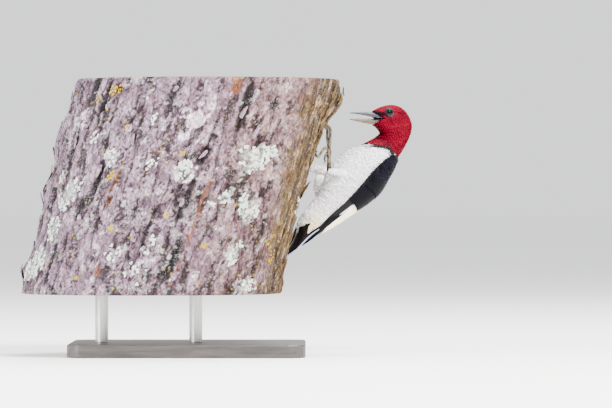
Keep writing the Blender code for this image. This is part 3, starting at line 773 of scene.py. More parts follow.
class Bark:
    """How the bark stands out and how it is coloured, at arrays of places on the trunk."""

    def __init__(self, angle, up):
        self.angle, self.up = angle, up
        at = perch_point(angle, up)
        self.upright = at - np.stack([perch_axis(at[..., 2]), at[..., 1] * 0, at[..., 2] * 0], -1)
        self.ragged = fractal(self.upright, 22.0, 3, 5)
        self.fine = fractal(self.upright, 5.0, 11, 4)
        self.mottled = fractal(self.upright, 9.0, 51, 4)
        self.granular = fractal(self.upright, 2.2, 55, 2)
        self.fibre = fractal(self.upright * (1.0, 1.0, 0.1), 2.6, 31, 3)
        shift = np.stack([self.fine * 2.0, self.fine * 2.0, self.ragged * 7.0], -1)
        self.warped = self.upright + shift
        self.streaky = fractal(self.warped * (1.0, 1.0, 0.4), 7.0, 57, 4)
        self.edge, self.plate = cracks(self.warped * (1.0, 1.0, 0.42), 8.5, 5)
        self.small_edge, self.small_plate = cracks(self.warped * (1.0, 1.0, 0.6), 3.6, 8)
        self.furrowed = self.splits(0.22, 15.0, 21, 0.0, 0.16)
        self.split = self.splits(0.12, 9.0, 35, 0.03, 0.19)
        self.tan = tan_side(angle, up, self.ragged)
        self.scaly = 1.0 - self.tan
        self.rise = self.plain_rise()
        self.colour = blend(self.scaly_colour(), self.tan_colour(), self.tan * 0.92)

    def splits(self, stretch, size, seed, low, high):
        """1 along wandering upright lines, 0 between them."""
        waves = np.abs(fractal(self.warped * (1.0, 1.0, stretch), size, seed, 3))
        return 1.0 - step_up(waves, low, high)

    def plain_rise(self):
        """Scales and furrows on the scaly side, fibres and splits on the tan one."""
        large = 1.3 * self.plate - 0.5 + 0.9 * step_up(self.edge, 0.02, 0.2) - 1.8 * self.furrowed
        small = 0.55 * self.small_plate + 0.35 * step_up(self.small_edge, 0.02, 0.25)
        fibres = 1.1 * self.fibre + 0.8 * self.fine + 1.4 * self.ragged - 1.3 * self.split
        rise = 1.1 * fractal(self.upright, 48.0, 41, 2) + self.scaly * large
        return rise + (self.scaly * small + 0.9 * self.fine * self.scaly) + self.tan * fibres

    def scaly_colour(self):
        pale = step_up(self.mottled + 0.5 * self.plate + 0.3 * self.granular, -0.15, 0.75)
        colour = blend(BARK_MAUVE, BARK_PALE, pale)
        # painted shade: the seams between plates and the furrows are darkened as the shade in them;
        # dusky adds random darker streaks
        seams = 1.0 - step_up(self.edge, 0.0, 0.12), 1.0 - step_up(self.small_edge, 0.0, 0.1)
        dusky = 0.9 * step_up(-self.streaky - 0.6 * self.granular, 0.06, 0.46)
        crack_shade_and_dusk = np.maximum(*seams) * 0.45 + 0.6 * self.furrowed + dusky
        colour = blend(colour, BARK_DIM, np.clip(crack_shade_and_dusk, 0.0, 1.0) * self.scaly)
        # painted shade: deeper still in the furrows
        dark = 0.7 * self.furrowed * step_up(-self.streaky, -0.2, 0.3) * self.scaly
        colour = blend(colour, BARK_DARK, dark)
        turned = (self.angle + (self.up - 180.0) * 0.045 + 6.0 * self.ragged) % FULL
        warm = step_up(turned, 262.0, 318.0) * (turned > 180.0)
        return colour * blend(np.ones(3), WARM_TINT, warm)

    def tan_colour(self):
        colour = blend(BARK_TAN, BARK_TAN_DARK, step_up(self.fibre + 0.4 * self.mottled, -0.1, 0.36))
        beige = 0.8 * step_up(self.mottled - 0.6 * self.fibre, 0.05, 0.5)
        colour = blend(colour, BARK_BEIGE, beige)
        dusky = 0.6 * step_up(-self.streaky - 0.5 * self.granular, 0.22, 0.5)
        # painted shade in the splits between the fibres, after random dusky streaks
        colour = blend(blend(colour, BARK_DARK, dusky), BARK_DARK, 0.9 * self.split)
        glow = step_up((self.angle + 30.0) % FULL, 3.0, 26.0) * 0.16
        return blend(colour, BARK_RUST, glow * step_up(self.fibre, -0.3, 0.3))

    def cut(self):
        """Sinks the furrows and the strips where the outer bark has come away, and paints the furrows
        dark as their shade.
        """
        for mark in FURROWS:
            inside = near_mark(self.angle, self.up, mark, 2.5 * self.ragged + 1.2 * self.fine)
            self.rise -= mark[5] * inside
            # painted shade in the furrow
            dark = step_up(inside, 0.15, 0.7) * 0.9
            self.colour = blend(self.colour, BARK_DARK * 0.6, dark)
        for mark in RUST_STRIPS:
            inside = near_mark(self.angle, self.up, mark, 2.5 * self.ragged + 1.5 * self.fine)
            self.rise -= 1.0 * inside
            rusty = step_up(inside + 0.25 * self.granular, 0.2, 0.7) * 0.7
            self.colour = blend(self.colour, BARK_RUST, rusty)

    def grow(self):
        """Covers the spots where lichen grows, and a scatter of small ones."""
        shift = 1.2 * np.stack([self.fine, self.fine, self.mottled], -1)
        edge, lobe = cracks(self.upright + shift, 4.6, 15)
        lobes = 0.55 * lobe + 0.35 * self.mottled
        scattered = step_up(lobe + 0.5 * self.mottled, 0.94, 0.98)
        scattered = scattered * step_up(self.ragged, -0.4, 0.25) * self.scaly
        specks = 0.8 * step_up(fractal(self.upright, 3.0, 81, 3), 0.62, 0.7)
        for spots, tint, height, strength, cover in (
            (PALE_LICHENS, LICHEN_PALE, 0.5, 0.45, scattered),
            (PINK_LICHENS, LICHEN_PINK, 0.5, 0.9, 0.0),
            (YELLOW_LICHENS, LICHEN_YELLOW, 0.6, 1.0, specks),
        ):
            for spot in spots:
                cover = np.maximum(cover, near_spot(self.angle, self.up, spot, lobes))
            cover = cover * (0.25 + 0.75 * step_up(edge, 0.03, 0.16))
            self.rise += height * cover * (0.6 + 0.7 * self.fine)
            shade = tint * (0.86 + 0.2 * self.small_plate[..., None])
            self.colour = blend(self.colour, shade, strength * np.clip(cover, 0.0, 1.0))


# Places where the bark keeps close to the CAD's own surface, so that the toes and the tail rest
# on it: angle, height, reach in degrees, reach in height
RESTS = (
    (14, 246, 9, 12), (12, 215, 8, 9), (30, 238, 14, 14), (38, 222, 8, 10), (27, 211, 8, 9),
    (23, 104, 14, 16),
)


def bark_at(angle, up):
    """How far the bark stands out, kept calm where something rests on it, and its colour."""
    bark = Bark(angle, up)
    bark.cut()
    bark.grow()
    calm = 0.0
    for at, height, reach, tall in RESTS:
        off = off_angle(angle, at)
        calm = np.maximum(calm, np.exp(-((off / reach) ** 4) - ((up - height) / tall) ** 4))
    return bark.rise * (1 - calm) + np.minimum(bark.rise, 0.1) * 0.4 * calm, bark.colour


def bark_angles():
    """The angle of each column of the bark: closer together on the side that faces the viewer."""
    behind = np.linspace(0.0, BARK_FRONT, BARK_UNSEEN, endpoint=False)
    seen = np.linspace(BARK_FRONT, FULL, BARK_SEEN, endpoint=False)
    return np.concatenate((behind, seen))


def make_perch():
    angle, up = np.meshgrid(bark_angles(), np.linspace(PERCH_BOTTOM, PERCH_TOP, BARK_ROWS))
    rise, colour = bark_at(angle, up)
    sawn = np.minimum(up - PERCH_BOTTOM, PERCH_TOP - up)
    rise = np.minimum(rise, HIGHEST_BARK) - 0.8 * np.exp(-(sawn**2))
    points = perch_point(angle, up, rise)
    material = bark_finish()
    piece("perch_bark", points, round_faces(points), colour, material, "bark", replaces=("perch_trunk",))
    make_sawn_end("perch_end_top", points[-1], 1.0)
    make_sawn_end("perch_end_bottom", points[0], -1.0)


# Loose plates of bark that stand out from the trunk's sides: angle, height, half length and half
# width in mm, how far the free end and the held end stand out, and lean
LOOSE_PLATES = (
    (357, 175, 9.5, 5.5, 5, 0.8, 3), (356, 178, 6.5, 1.8, 3.6, 0.8, 1), (4, 281, 5, 3.6, 4.2, 2.2, 0),
    (358, 272, 7, 2.6, 2.6, 1, 1), (359, 252, 8, 3.6, 2.4, 0.6, 2), (346, 247, 9, 4, 2.6, 0.6, 3),
    (350, 227, 10, 3, 2.2, 0.5, 2), (357, 138, 9, 2.4, 2, 0.6, 1), (353, 120, 11, 2.6, 2.6, 0.6, 2),
    (352, 92, 10, 3, 2.4, 0.6, 2), (180, 268, 12, 4, 3.6, 0.8, 2), (184, 236, 13, 5, 4, 1, 2),
    (178, 212, 9, 4, 3.4, 0.8, 1), (186, 190, 12, 4.6, 3.8, 1, 2), (181, 160, 12, 4.6, 4.4, 1, 1),
    (187, 138, 11, 5, 3.6, 0.8, 2), (180, 112, 10, 4, 3, 0.8, 1), (183, 84, 12, 5, 4.2, 1.2, 1),
)
SMALL_PLATES, SMALL_PLATE_HELD = 230, -0.9
# The rings of a plate from the middle of its outside to that of its inside: share of its size,
# and how far out in thicknesses
PLATE_RINGS = np.array((
    (0.02, 1.05), (0.4, 1), (0.75, 0.95), (0.93, 0.8), (1, 0.45), (0.96, 0), (0.5, -0.4), (0.02, -0.5),
))


def bark_patch(angle, up, sideways, upwards, out):
    """Points given by how far they lie sideways, upwards and outwards from a place on the trunk."""
    turned = angle + np.degrees(sideways / PERCH_RADII[0])
    return perch_point(turned, up + upwards, out)


def bark_plate(spec, seed):
    """One plate of bark: ragged, thicker in the middle, free at one end, and darker towards its rim and
    underside as painted shade.
    """
    angle, up, half_long, half_wide, free, held, lean = spec
    turn = turns(26)
    draw = np.random.default_rng(seed)
    ragged = 1.0 + 0.22 * np.sin(turn * 3 + draw.uniform(0, 6)) * draw.uniform(0.2, 1.0)
    ragged = ragged + draw.uniform(-0.12, 0.12, len(turn))
    share, high = PLATE_RINGS[:, :1], PLATE_RINGS[:, 1:]
    boxy = (np.abs(np.cos(turn)) ** 3 + np.abs(np.sin(turn)) ** 3) ** (-1 / 3) * ragged
    upwards = half_long * share * np.sin(turn) * boxy
    sideways = half_wide * share * np.cos(turn) * boxy + lean * upwards / half_long
    thick = 0.7 + 0.05 * half_wide
    out = held + (free - held) * (0.5 + 0.5 * np.sin(turn) * share) ** 1.5
    rough = fractal(np.stack(np.broadcast_arrays(upwards, sideways, angle), -1), 2.6, seed, 3)
    points = bark_patch(angle, up, sideways, upwards, out + thick * high + 0.5 * rough)
    tan = float(tan_side(np.array(angle), up, 0.0)) > 0.3
    base = BARK_TAN if tan else blend(BARK_MAUVE, BARK_PALE, 0.4)
    # partly random, partly painted shade: darker towards the plate's rim and underside
    tint = blend(base, BARK_DARK, step_up(rough + 0.6 * (1 - high) - 0.3, 0.0, 0.7) * 0.85)
    if not tan:
        tint = blend(tint, LICHEN_PALE, 0.6 * step_up(rough - 0.3 * share, 0.2, 0.4) * (high > 0.5))
    return points, round_faces(points)[:, ::-1], tint


def small_plates():
    """Many low plates spread over the trunk, as rows like those of LOOSE_PLATES."""
    draw = np.random.default_rng(61)
    heights = PERCH_BOTTOM + 8, PERCH_TOP - 8
    spans = (174, 358), heights, (3, 8), (1.6, 3.6), (0.5, 1.9), (-1, 3)
    drawn = [[draw.uniform(*span) for span in spans] for _ in range(SMALL_PLATES)]
    return [(*row[:5], SMALL_PLATE_HELD, row[5]) for row in drawn]


# The rings of a lobe of lichen from its middle outwards: share of its reach, and height
LOBE_RINGS = np.array(((0.02, 0.75), (0.45, 0.8), (0.78, 1), (0.95, 0.75), (1, 0.2), (0.9, -0.6)))


def lobe_places(spots, spacing, size, seed):
    """Where each leafy lobe grows: angle, height and reach, for every lobe round every spot."""
    draw = np.random.default_rng(seed)
    rows = []
    for angle, up, radius, thick in spots:
        count = int(thick * 1.2 * (radius / spacing) ** 2)
        far = 0.68 * radius * np.sqrt(draw.uniform(0, 1, count))
        way = draw.uniform(0.0, math.tau, count)
        around = angle + np.degrees(far * np.cos(way) / PERCH_RADII[0])
        reach = size * draw.uniform(0.6, 1.25, count)
        rows.append(np.stack((around, up + far * np.sin(way), reach), -1))
    rows = np.concatenate(rows)
    inside = (rows[:, 1] > PERCH_BOTTOM + 4.0) & (rows[:, 1] < PERCH_TOP - 4.0)
    clumped = noise(perch_point(rows[:, 0], rows[:, 1]), 7.0, seed) > -0.2
    return rows[inside & clumped]


def lichen_lobes(spots, spacing, size, height, tint, seed):
    """Leafy lobes of lichen round each spot, each a small dome with a wavy raised rim, darker towards
    the rim and underneath as painted shade.
    """
    angle, up, reach = (row[:, None, None] for row in lobe_places(spots, spacing, size, seed).T)
    draw = np.random.default_rng(seed + 1)
    phase = draw.uniform(0.0, math.tau, (2, *angle.shape))
    lean = draw.uniform(-0.2, 0.2, (2, *angle.shape))
    turn = turns(14)
    share, high = LOBE_RINGS[:, :1], LOBE_RINGS[:, 1:]
    wave = 1 + 0.28 * np.cos(turn * 3 + phase[0]) + 0.12 * np.cos(turn * 5 + phase[1])
    across = reach * wave * share * np.cos(turn)
    along = reach * wave * share * np.sin(turn)
    base = np.minimum(bark_at(angle, up)[0], HIGHEST_BARK)
    out = base + height * (0.3 + high) + lean[0] * across + lean[1] * along
    points = bark_patch(angle, up, across, along, out)
    # painted shade: each lobe is darker towards its rim and underside
    shade = (0.62 + 0.4 * np.clip(high, 0, 1)) * draw.uniform(0.85, 1.05, angle.shape)
    tints = tint * np.broadcast_to(shade, out.shape)[..., None]
    faces = round_faces(points[0])[:, ::-1]
    return [(lobe, faces, lobe_tint) for lobe, lobe_tint in zip(points, tints)]


def make_bark_growths():
    bark = bpy.data.materials["bark_and_lichen"]
    specs = (*LOOSE_PLATES, *small_plates())
    plates = [bark_plate(spec, 500 + number) for number, spec in enumerate(specs)]
    piece("bark_plates", *joined(plates), bark, "bark")
    leafy = skin_finish("leafy_lichen", 0.9, 700.0, 0.2)
    lobes = lichen_lobes(PALE_LICHENS, 2.3, 1.45, 0.8, LICHEN_PALE * 1.15, 71)
    lobes += lichen_lobes(YELLOW_LICHENS, 2.2, 1.2, 0.6, LICHEN_YELLOW, 73)
    piece("lichen_lobes", *joined(lobes), leafy, "bark")


# Cracks in the sawn ends: angle, and how far in they run as a share of the way to the heart
SHRINKAGE_CRACKS = ((32, 0.75), (118, 0.4), (196, 0.62), (262, 0.45), (318, 0.3))
BARK_THICKNESS = 6.0


def shrinkage(around, shares):
    """1 in the cracks that open as the wood dries, 0 between them."""
    crack = 0.0
    for at, reach in SHRINKAGE_CRACKS:
        width = 0.9 * step_up(shares, 1.0 - reach, 1.0) + 0.05
        inside = np.exp(-((off_angle(around, at) / width) ** 2))
        crack = np.maximum(crack, inside * step_up(shares, 1.0 - reach, 0.9))
    return crack


def make_sawn_end(name, rim, facing):
    """The sawn end inside a rim of bark points: bark edge, wood, and cracks towards the heart, painted
    dark as shade.
    """
    shares = np.concatenate((np.linspace(1.0, 0.9, 12), np.linspace(0.88, 0.0, 60)))[:, None]
    middle = rim.mean(axis=0) + (9.0, -6.0, 0.0)
    flat = middle + (rim[None] - middle) * shares[..., None]
    ring = (1.0 - shares) * np.linalg.norm((rim - middle)[:, :2], axis=-1)
    crack = shrinkage(bark_angles() + 6.0 * fractal(flat, 16.0, 7, 3), shares)
    flat[..., 2] -= facing * (2.2 * crack + 0.15 + 0.2 * fractal(flat, 3.0, 9, 3))
    flat[0] = rim
    faces = round_faces(flat) if facing > 0 else round_faces(flat)[:, ::-1]
    depth = ring + 1.5 * fractal(flat, 6.0, 19, 3)
    bark_ring = 1.0 - step_up(depth, BARK_THICKNESS - 0.6, BARK_THICKNESS)
    # painted shade: the drying cracks are coloured near black, as the shade in them
    tint = blend(blend(np.ones(3), BARK_RING_TINT, bark_ring), BARK_RING_TINT * 0.25, crack)
    obj = piece(name, flat, faces, tint, end_grain_finish(), "bark")
    layer = obj.data.attributes.new(name="Ring", type="FLOAT", domain="POINT")
    layer.data.foreach_set("value", ring.astype(np.float32).ravel())


# ---------------------------------------------------------------- stand, floor, light, camera


FLOOR_HALF = 60000.0


def dress_stand():
    """The CAD's own base and rods stay, with finished materials."""
    steel = stand_metal_finish()
    looks = {"stand_base": stand_wood_finish(), "stand_rod_1": steel, "stand_rod_2": steel}
    for name, material in looks.items():
        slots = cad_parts[name].data.materials
        slots.clear()
        slots.append(material)


def make_floor():
    half = FLOOR_HALF * MM
    corners = [(x * half, y * half, 0.0) for x, y in ((-1, -1), (1, -1), (1, 1), (-1, 1))]
    mesh = bpy.data.meshes.new("floor")
    mesh.from_pydata(corners, [], [(0, 1, 2, 3)])
    mesh.materials.append(floor_finish())
    floor = placed_in_scene("floor", mesh)


# Disk lamps: name, place, what they aim at, width, power and colour, in metres and watts
LAMPS = (
    ("key", (1.1, -1.5, 1.9), (0.0, 0.0, 0.17), 1.3, 250.0, (1.0, 0.985, 0.96)),
    ("fill", (-1.8, -1.4, 0.9), (0.0, 0.0, 0.17), 1.6, 125.0, (0.94, 0.97, 1.0)),
    ("back", (0.7, 1.0, 2.4), (0.1, 0.4, 0.0), 1.4, 110.0, (1.0, 1.0, 1.0)),
)
BACKDROP_COLOUR, BACKDROP_STRENGTH = (0.86, 0.87, 0.88, 1.0), 1.6
CAMERA_PLACE = (0.1253, -4.925, 0.1609)
CAMERA_LENS, CAMERA_SENSOR = 272.3, 36.0


def make_lamp(name, place, aim, size, power, colour):
    data = bpy.data.lights.new(name, "AREA")
    data.shape = "DISK"
    data.size = size
    data.energy = power
    data.color = colour
    lamp = placed_in_scene(name, data)
    lamp.location = place
    lamp.rotation_euler = (Vector(aim) - Vector(place)).to_track_quat("-Z", "Y").to_euler()


def make_lights():
    for lamp in LAMPS:
        make_lamp(*lamp)
    world = bpy.data.worlds.new("studio")
    world.use_nodes = True
    backdrop = world.node_tree.nodes["Background"]
    backdrop.inputs["Color"].default_value = BACKDROP_COLOUR
    backdrop.inputs["Strength"].default_value = BACKDROP_STRENGTH
    bpy.context.scene.world = world


def make_camera():
    """Level, far off and in line with the bird's side, as in the picture."""
    data = bpy.data.cameras.new("camera")
    data.lens = CAMERA_LENS
    data.sensor_width = CAMERA_SENSOR
    data.clip_end = 200.0
    camera = placed_in_scene("camera", data)
    camera.location = CAMERA_PLACE
    camera.rotation_euler = (math.radians(90.0), 0.0, 0.0)
    bpy.context.scene.camera = camera


# ---------------------------------------------------------------- the bird's markings and skin


def eye_axes():
    """The left eye's centre, the way it looks out, the way to the bill, and upwards."""
    s, angle = np.array(EYE_STATION), np.array(EYE_ANGLE)
    centre = OUTLINE.raised(s, angle, EYE_PROUD - EYE_RADIUS)
    out = OUTLINE.normal(s, angle)
    ahead = unit(np.array((-1.0, 0.0, 0.0)) + out * out[0])
    return centre, out, ahead, np.cross(ahead, out)


EYE_CENTRE, EYE_OUT, EYE_AHEAD, EYE_UP = eye_axes()
LID_EDGE = 5.5  # how far the bare ring round the eye reaches
LORE_FROM, LORE_TO = np.array((99.0, 259.4)), np.array((112.4, 257.4))
GAPE = np.array((109.5, 253.3))  # the corner of the mouth, seen from the side
CULMEN = np.array((99.4, 260.6))  # where the feathers of the forehead start
CHIN = np.array((101.2, 248.2))  # where the feathers of the chin start
LORES_MIDDLE = (102.5, 255.5)
MOUTH_LINE = 253.2  # how high the slit between the bill's halves runs
MOUTH_HEART = np.array((104.5, 0.0, 253.4))  # where the inside of the mouth, painted dark as shade, ends


def left_side(points):
    """The same places folded over to the bird's left side."""
    return points * (1.0, 0.0, 1.0) - np.abs(points * (0.0, 1.0, 0.0))


def from_eye(points):
    """How far places are from the line along which the eye on their side looks out."""
    off = left_side(points) - EYE_CENTRE
    return np.linalg.norm(off - EYE_OUT * (off @ EYE_OUT)[..., None], axis=-1)


def beside_line(points, start, end):
    """How far places, seen from the side, are from a straight line between two points."""
    flat = points[..., (0, 2)] - start
    line = end - start
    share = np.clip(flat @ line / (line @ line), 0.0, 1.0)
    return np.linalg.norm(flat - share[..., None] * line, axis=-1)


def past_line(points, start, end):
    """How far places, seen from the side, are to the left of the way from start to end."""
    line = (end - start) / np.linalg.norm(end - start)
    flat = points[..., (0, 2)] - start
    return line[0] * flat[..., 1] - line[1] * flat[..., 0]


def bare_for_bill(points):
    """1 where the bill's base shows instead of feathers, 0 elsewhere, with a soft edge."""
    above = past_line(points, CULMEN, GAPE)
    below = -past_line(points, CHIN, GAPE)
    ahead = step_up(GAPE[0] + 0.4 - points[..., 0], 0.0, 1.0)
    return step_up(-np.maximum(above, below), -0.3, 0.5) * ahead


COAT_STATIONS = (0.0, 1.0, 3.0, 5.0, 15.0, 18.0, 21.0, 24.0)
COAT_DEPTHS = (0.6, 0.8, 1.0, 1.3, 1.3, 1.1, 0.9, 0.6)


def coat_depth(s):
    """How deep the feathers are over the skin."""
    return np.interp(s, COAT_STATIONS, COAT_DEPTHS)


def face_hollows(points):
    """How much deeper than elsewhere the skin lies round the eye, the lores and the bill's root."""
    eye = from_eye(points)
    hollow = 0.5 * np.exp(-((eye / 6.5) ** 2)) + 3.4 * (1 - step_up(eye, 3.3, 4.1))
    lores = np.hypot(points[..., 0] - LORES_MIDDLE[0], points[..., 2] - LORES_MIDDLE[1]) / 5.5
    sided = step_up(np.abs(points[..., 1]), 1.0, 5.0)
    hollow = hollow + 1.5 * np.exp(-(lores**2)) * sided + 1.7 * bare_for_bill(points) * sided
    slit = np.abs(points[..., 2] - MOUTH_LINE) / 1.3
    return hollow + 2.6 * np.exp(-(slit**4)) * step_up(GAPE[0] - points[..., 0], -0.5, 1.0)


def skin_point(s, angle):
    outside = OUTLINE.point(s, angle)
    on_head = step_up(s, 17.0, 18.5)
    depth = coat_depth(s) + on_head * face_hollows(outside)
    return outside - OUTLINE.normal(s, angle) * depth[..., None]


SKIN = Surface(skin_point)


def from_below(angle):
    """The angle round the body measured up from the belly on either side, 0 to 180."""
    return np.abs(off_angle(angle, 0.0))


def collar_line(angle):
    """The station where the red ends: furthest up the neck on its sides."""
    return np.interp(from_below(angle), COLLAR[:, 0], COLLAR[:, 1])


def near_place(s, side, at, reach):
    """1 at a place given by its station and its angle from below, fading away within a reach."""
    return np.exp(-(((s - at[0]) / reach[0]) ** 2) - ((side - at[1]) / reach[1]) ** 2)


# Darker places of the red, painted shade on the throat under the head and a smoky patch of the neck: the
# station and angle of their middle, then how far they reach
THROAT_SHADE = (14.9, 20.0), (0.8, 26.0)
NECK_SMOKE = (13.5, 68.0), (0.5, 22.0)
# Where other markings, and the painted highlight on the front of the neck, fade, as spans of stations or
# of angles from below
NECK_HIGHLIGHT_STATIONS, NECK_HIGHLIGHT_ANGLES = (13.0, 14.4), (50.0, 95.0)
LORES_START = (19.0, 20.0)
BILL_ROOT_START = (22.9, 23.9)
BLACK_BACK_ANGLES, BLACK_BACK_STATIONS = (128.0, 134.0), (6.7, 7.0)
COLLAR_START, COLLAR_END = (-0.52, -0.44), (0.02, 0.08)  # stations past the end of the red
COLLAR_LOW, COLLAR_HIGH = (22.0, 50.0), (118.0, 130.0)


def head_colour(s, angle, points):
    """Red, deeper in patches, with a smoky side of the neck, black lores and a dark bill root; painted
    shade on the throat, and painted highlights towards the crown and on the front of the neck above the
    collar.
    """
    side = from_below(angle)
    mottled = fractal(points, 7.0, 101, 3)
    streaked = fractal(points, 2.6, 105, 3)
    # partly random, partly painted highlight: the red grows brighter up towards the crown and nape, as
    # lit from above
    colour = blend(RED, RED_BRIGHT, step_up(mottled + (side - 100.0) / 160.0, 0.0, 0.9) * 0.6)
    deep = 0.75 * step_up(-mottled - 0.4 * streaked, -0.05, 0.6)
    colour = blend(colour, RED_DEEP, np.clip(deep, 0.0, 0.8))
    # painted shade: the throat, under the head, is darkened in streaks
    throat = near_place(s, side, *THROAT_SHADE) * step_up(streaked, -0.5, 0.2)
    colour = blend(colour, RED_DEEP * 0.5, 0.6 * throat)
    # painted highlight: the front of the neck just above the collar is paler and pinker, as where light
    # catches it
    neck_highlight = (1 - step_up(s, *NECK_HIGHLIGHT_STATIONS)) * (1 - step_up(side, *NECK_HIGHLIGHT_ANGLES))
    colour = blend(colour, RED_PAINTED_HIGHLIGHT, 0.7 * neck_highlight)
    smoky = near_place(s, side, *NECK_SMOKE) * step_up(streaked, -0.6, 0.1)
    colour = blend(colour, RED_SMOKE, 0.8 * smoky)
    lores = 1 - step_up(beside_line(points, LORE_FROM, LORE_TO), 1.3, 3.1)
    lores = lores * step_up(s, *LORES_START)
    colour = blend(colour, BLACK, 0.97 * lores)
    root = step_up(s, *BILL_ROOT_START) * 0.3
    return blend(colour, RED_DEEP * 0.45, root)


def body_colour(s, angle, points):
    """White, creamy towards the tail and the flanks, with a black back."""
    side = from_below(angle)
    mottled = fractal(points, 9.0, 111, 3)
    colour = blend(WHITE, WHITE_SHADE, 0.45 * step_up(mottled, -0.2, 0.7))
    creamy = step_up(-s, -5.4, -3.6) * step_up(side, 25.0, 60.0)
    flank = step_up(side, 60.0, 100.0) * step_up(-s, -9.0, -6.0)
    colour = blend(colour, CREAM, 0.9 * creamy + 0.2 * flank)
    black_back = step_up(side, *BLACK_BACK_ANGLES) * step_up(s, *BLACK_BACK_STATIONS)
    return blend(colour, blend(BLACK, BLACK_BLUE, 0.5 + 0.5 * mottled), black_back)


# By station: how far up the tail's sides the white coverts beneath it reach, in degrees, and how
# wide the strip beside it is, on either side of its own angle
COVERT_ENDS = (2.2, 2.5, 2.75, 3.0, 3.25, 3.5, 3.7)
COVERT_REACH = (0.0, 32.0, 47.0, 59.0, 68.0, 81.0, 180.0)
STRIP_ENDS = (2.2, 2.5, 3.0, 3.6)
STRIP_REACH = (0.0, 7.0, 15.0, 18.0)
STRIP_ANGLE = 92.0
COVERT_AHEAD = 0.62  # stations from a covert's root to the place it covers


def tail_covert(s, side):
    """1 where white covert feathers lie over the black tail: beneath it, and a strip beside it."""
    beneath = step_up(np.interp(s, COVERT_ENDS, COVERT_REACH) - side, -1.0, 1.0)
    beside = np.abs(side - STRIP_ANGLE) < np.interp(s, STRIP_ENDS, STRIP_REACH)
    return np.maximum(beneath, beside)


def markings(s, angle, points):
    """The colour of each place of the body, for the skin and the feathers alike."""
    body = body_colour(s, angle, points)
    side = from_below(angle)
    body = blend(body, BLACK_BROWN, step_up(-s, -4.0, -3.7) * (1 - tail_covert(s, side)))
    past = s - collar_line(angle)
    colour = blend(body, head_colour(s, angle, points), step_up(past, -0.03, 0.03))
    line = step_up(past, *COLLAR_START) * (1 - step_up(past, *COLLAR_END))
    line = line * step_up(side, *COLLAR_LOW) * (1 - step_up(side, *COLLAR_HIGH))
    return blend(colour, BLACK, line)


def mouth_rows(front):
    """The skin turned inwards round the root of the bill, as the inside of the mouth, which is painted
    dark as shade.
    """
    rows = []
    for share, inward in ((0.12, 0.6), (0.3, 1.6), (0.6, 3.0), (0.97, 3.6)):
        row = front + (MOUTH_HEART - front) * share
        row[:, 0] = front[:, 0] + inward
        rows.append(row)
    return rows


def make_skin():
    """One closed skin for the body, the folded wings and the thighs, inside their solids."""
    columns, start, end = 120, 0.25, HEAD_FRONT
    stations = np.concatenate((np.linspace(start, 17.0, 120), np.linspace(17.0, end, 110)[1:]))
    angle, s = np.meshgrid(np.arange(columns) * FULL / columns, stations)
    points = skin_point(s, angle)
    tint = markings(s, angle, OUTLINE.point(s, angle))
    # painted shade: the skin in the hollow round the bill's root is coloured near black, darker than the
    # bill
    bare = bare_for_bill(points) * step_up(s, 20.0, 21.0)
    tint = blend(tint, HORN_DARK * 0.4, bare)
    mouth = np.stack(mouth_rows(points[-1]))
    points = np.concatenate((drawn_in(points[0], 0.02), points, mouth))
    # painted shade: the inside of the mouth is coloured dark, as the shade in the pocket round the
    # bill's root
    dark = np.broadcast_to(MOUTH_PAINTED_SHADE, mouth.shape)
    tint = np.concatenate((tint[:1], tint, dark))
    parts = [(points, round_faces(points), tint)]
    parts += [wing_form(side) for side in (1.0, -1.0)]
    parts += [limb_form(rows) for rows in (*THIGHS.values(), FLANK_LOBE)]
    finish = skin_finish("feathered_skin", 0.75, 900.0, 0.15)
    flesh = ("head", "neck", "torso", "tail", "wing_left", "wing_right", "thigh_left", "thigh_right")
    bird_piece("skin", *joined(parts), finish, "plumage_white", replaces=flesh)


def limb_rows(rows):
    """A feathered limb's skin: thinner than its solid, most of all where it leaves the body."""
    start = 2.4 if rows is FLANK_LOBE else 4.2
    return rows - np.outer(np.linspace(start, 1.2, len(rows)), (0.0, 0.0, 0.0, 1.0))


def limb_form(rows):
    """The skin of a feathered limb, inside its solid by the depth of its short feathers."""
    surface = tube_surface(limb_rows(rows))
    angle, s = np.meshgrid(np.arange(24) * 15.0, np.linspace(0.0, len(rows) - 1.0, 30))
    points = surface.point(s, angle)
    points = np.concatenate((points, drawn_in(points[-1], 0.03)))
    return points, round_faces(points), WHITE_SHADE


# ---------------------------------------------------------------- the folded wings


def wing_row(s):
    """The wing's edges and thickness at a station."""
    index = np.interp(-s, -WING[:, 0], np.arange(len(WING)))
    return rows_at(WING, index)


def wing_angle(s, q):
    """The angle round the body of a place on the folded wing."""
    row = wing_row(s)
    return row[..., 1] + (row[..., 2] - row[..., 1]) * q


def wing_point(s, q, level=1.0):
    """A place on the folded left wing: q runs from its lower edge, 0, to its upper edge, 1."""
    bulge = 0.35 + 0.65 * np.sin(math.pi * np.clip(q, 0.06, 0.94)) ** 0.6
    return OUTLINE.raised(s, wing_angle(s, q), GAP + wing_row(s)[..., 3] * bulge * level)


WING_TOP = Surface(lambda s, q: wing_point(s, q, 0.72), reach_angle=0.01)


def mirrored(points, side):
    """Points of the left side, on the side asked for: 1 is left and -1 is right."""
    return points * (1.0, side, 1.0)


# Where across the wing its white block of inner flight feathers starts, by station
WHITE_STATIONS = (3.6, 3.7, 4.0, 4.3, 4.6, 4.9, 5.5)
WHITE_FROM = (1.0, 0.75, 0.49, 0.4, 0.35, 0.32, 0.28)


def wing_black(s, q):
    """1 where the folded wing is black, 0 on its white block."""
    past_edge = q - np.interp(s, WHITE_STATIONS, WHITE_FROM)
    return 1.0 - step_up(-s, -6.4, -6.1) * step_up(past_edge, 0.0, 0.04)


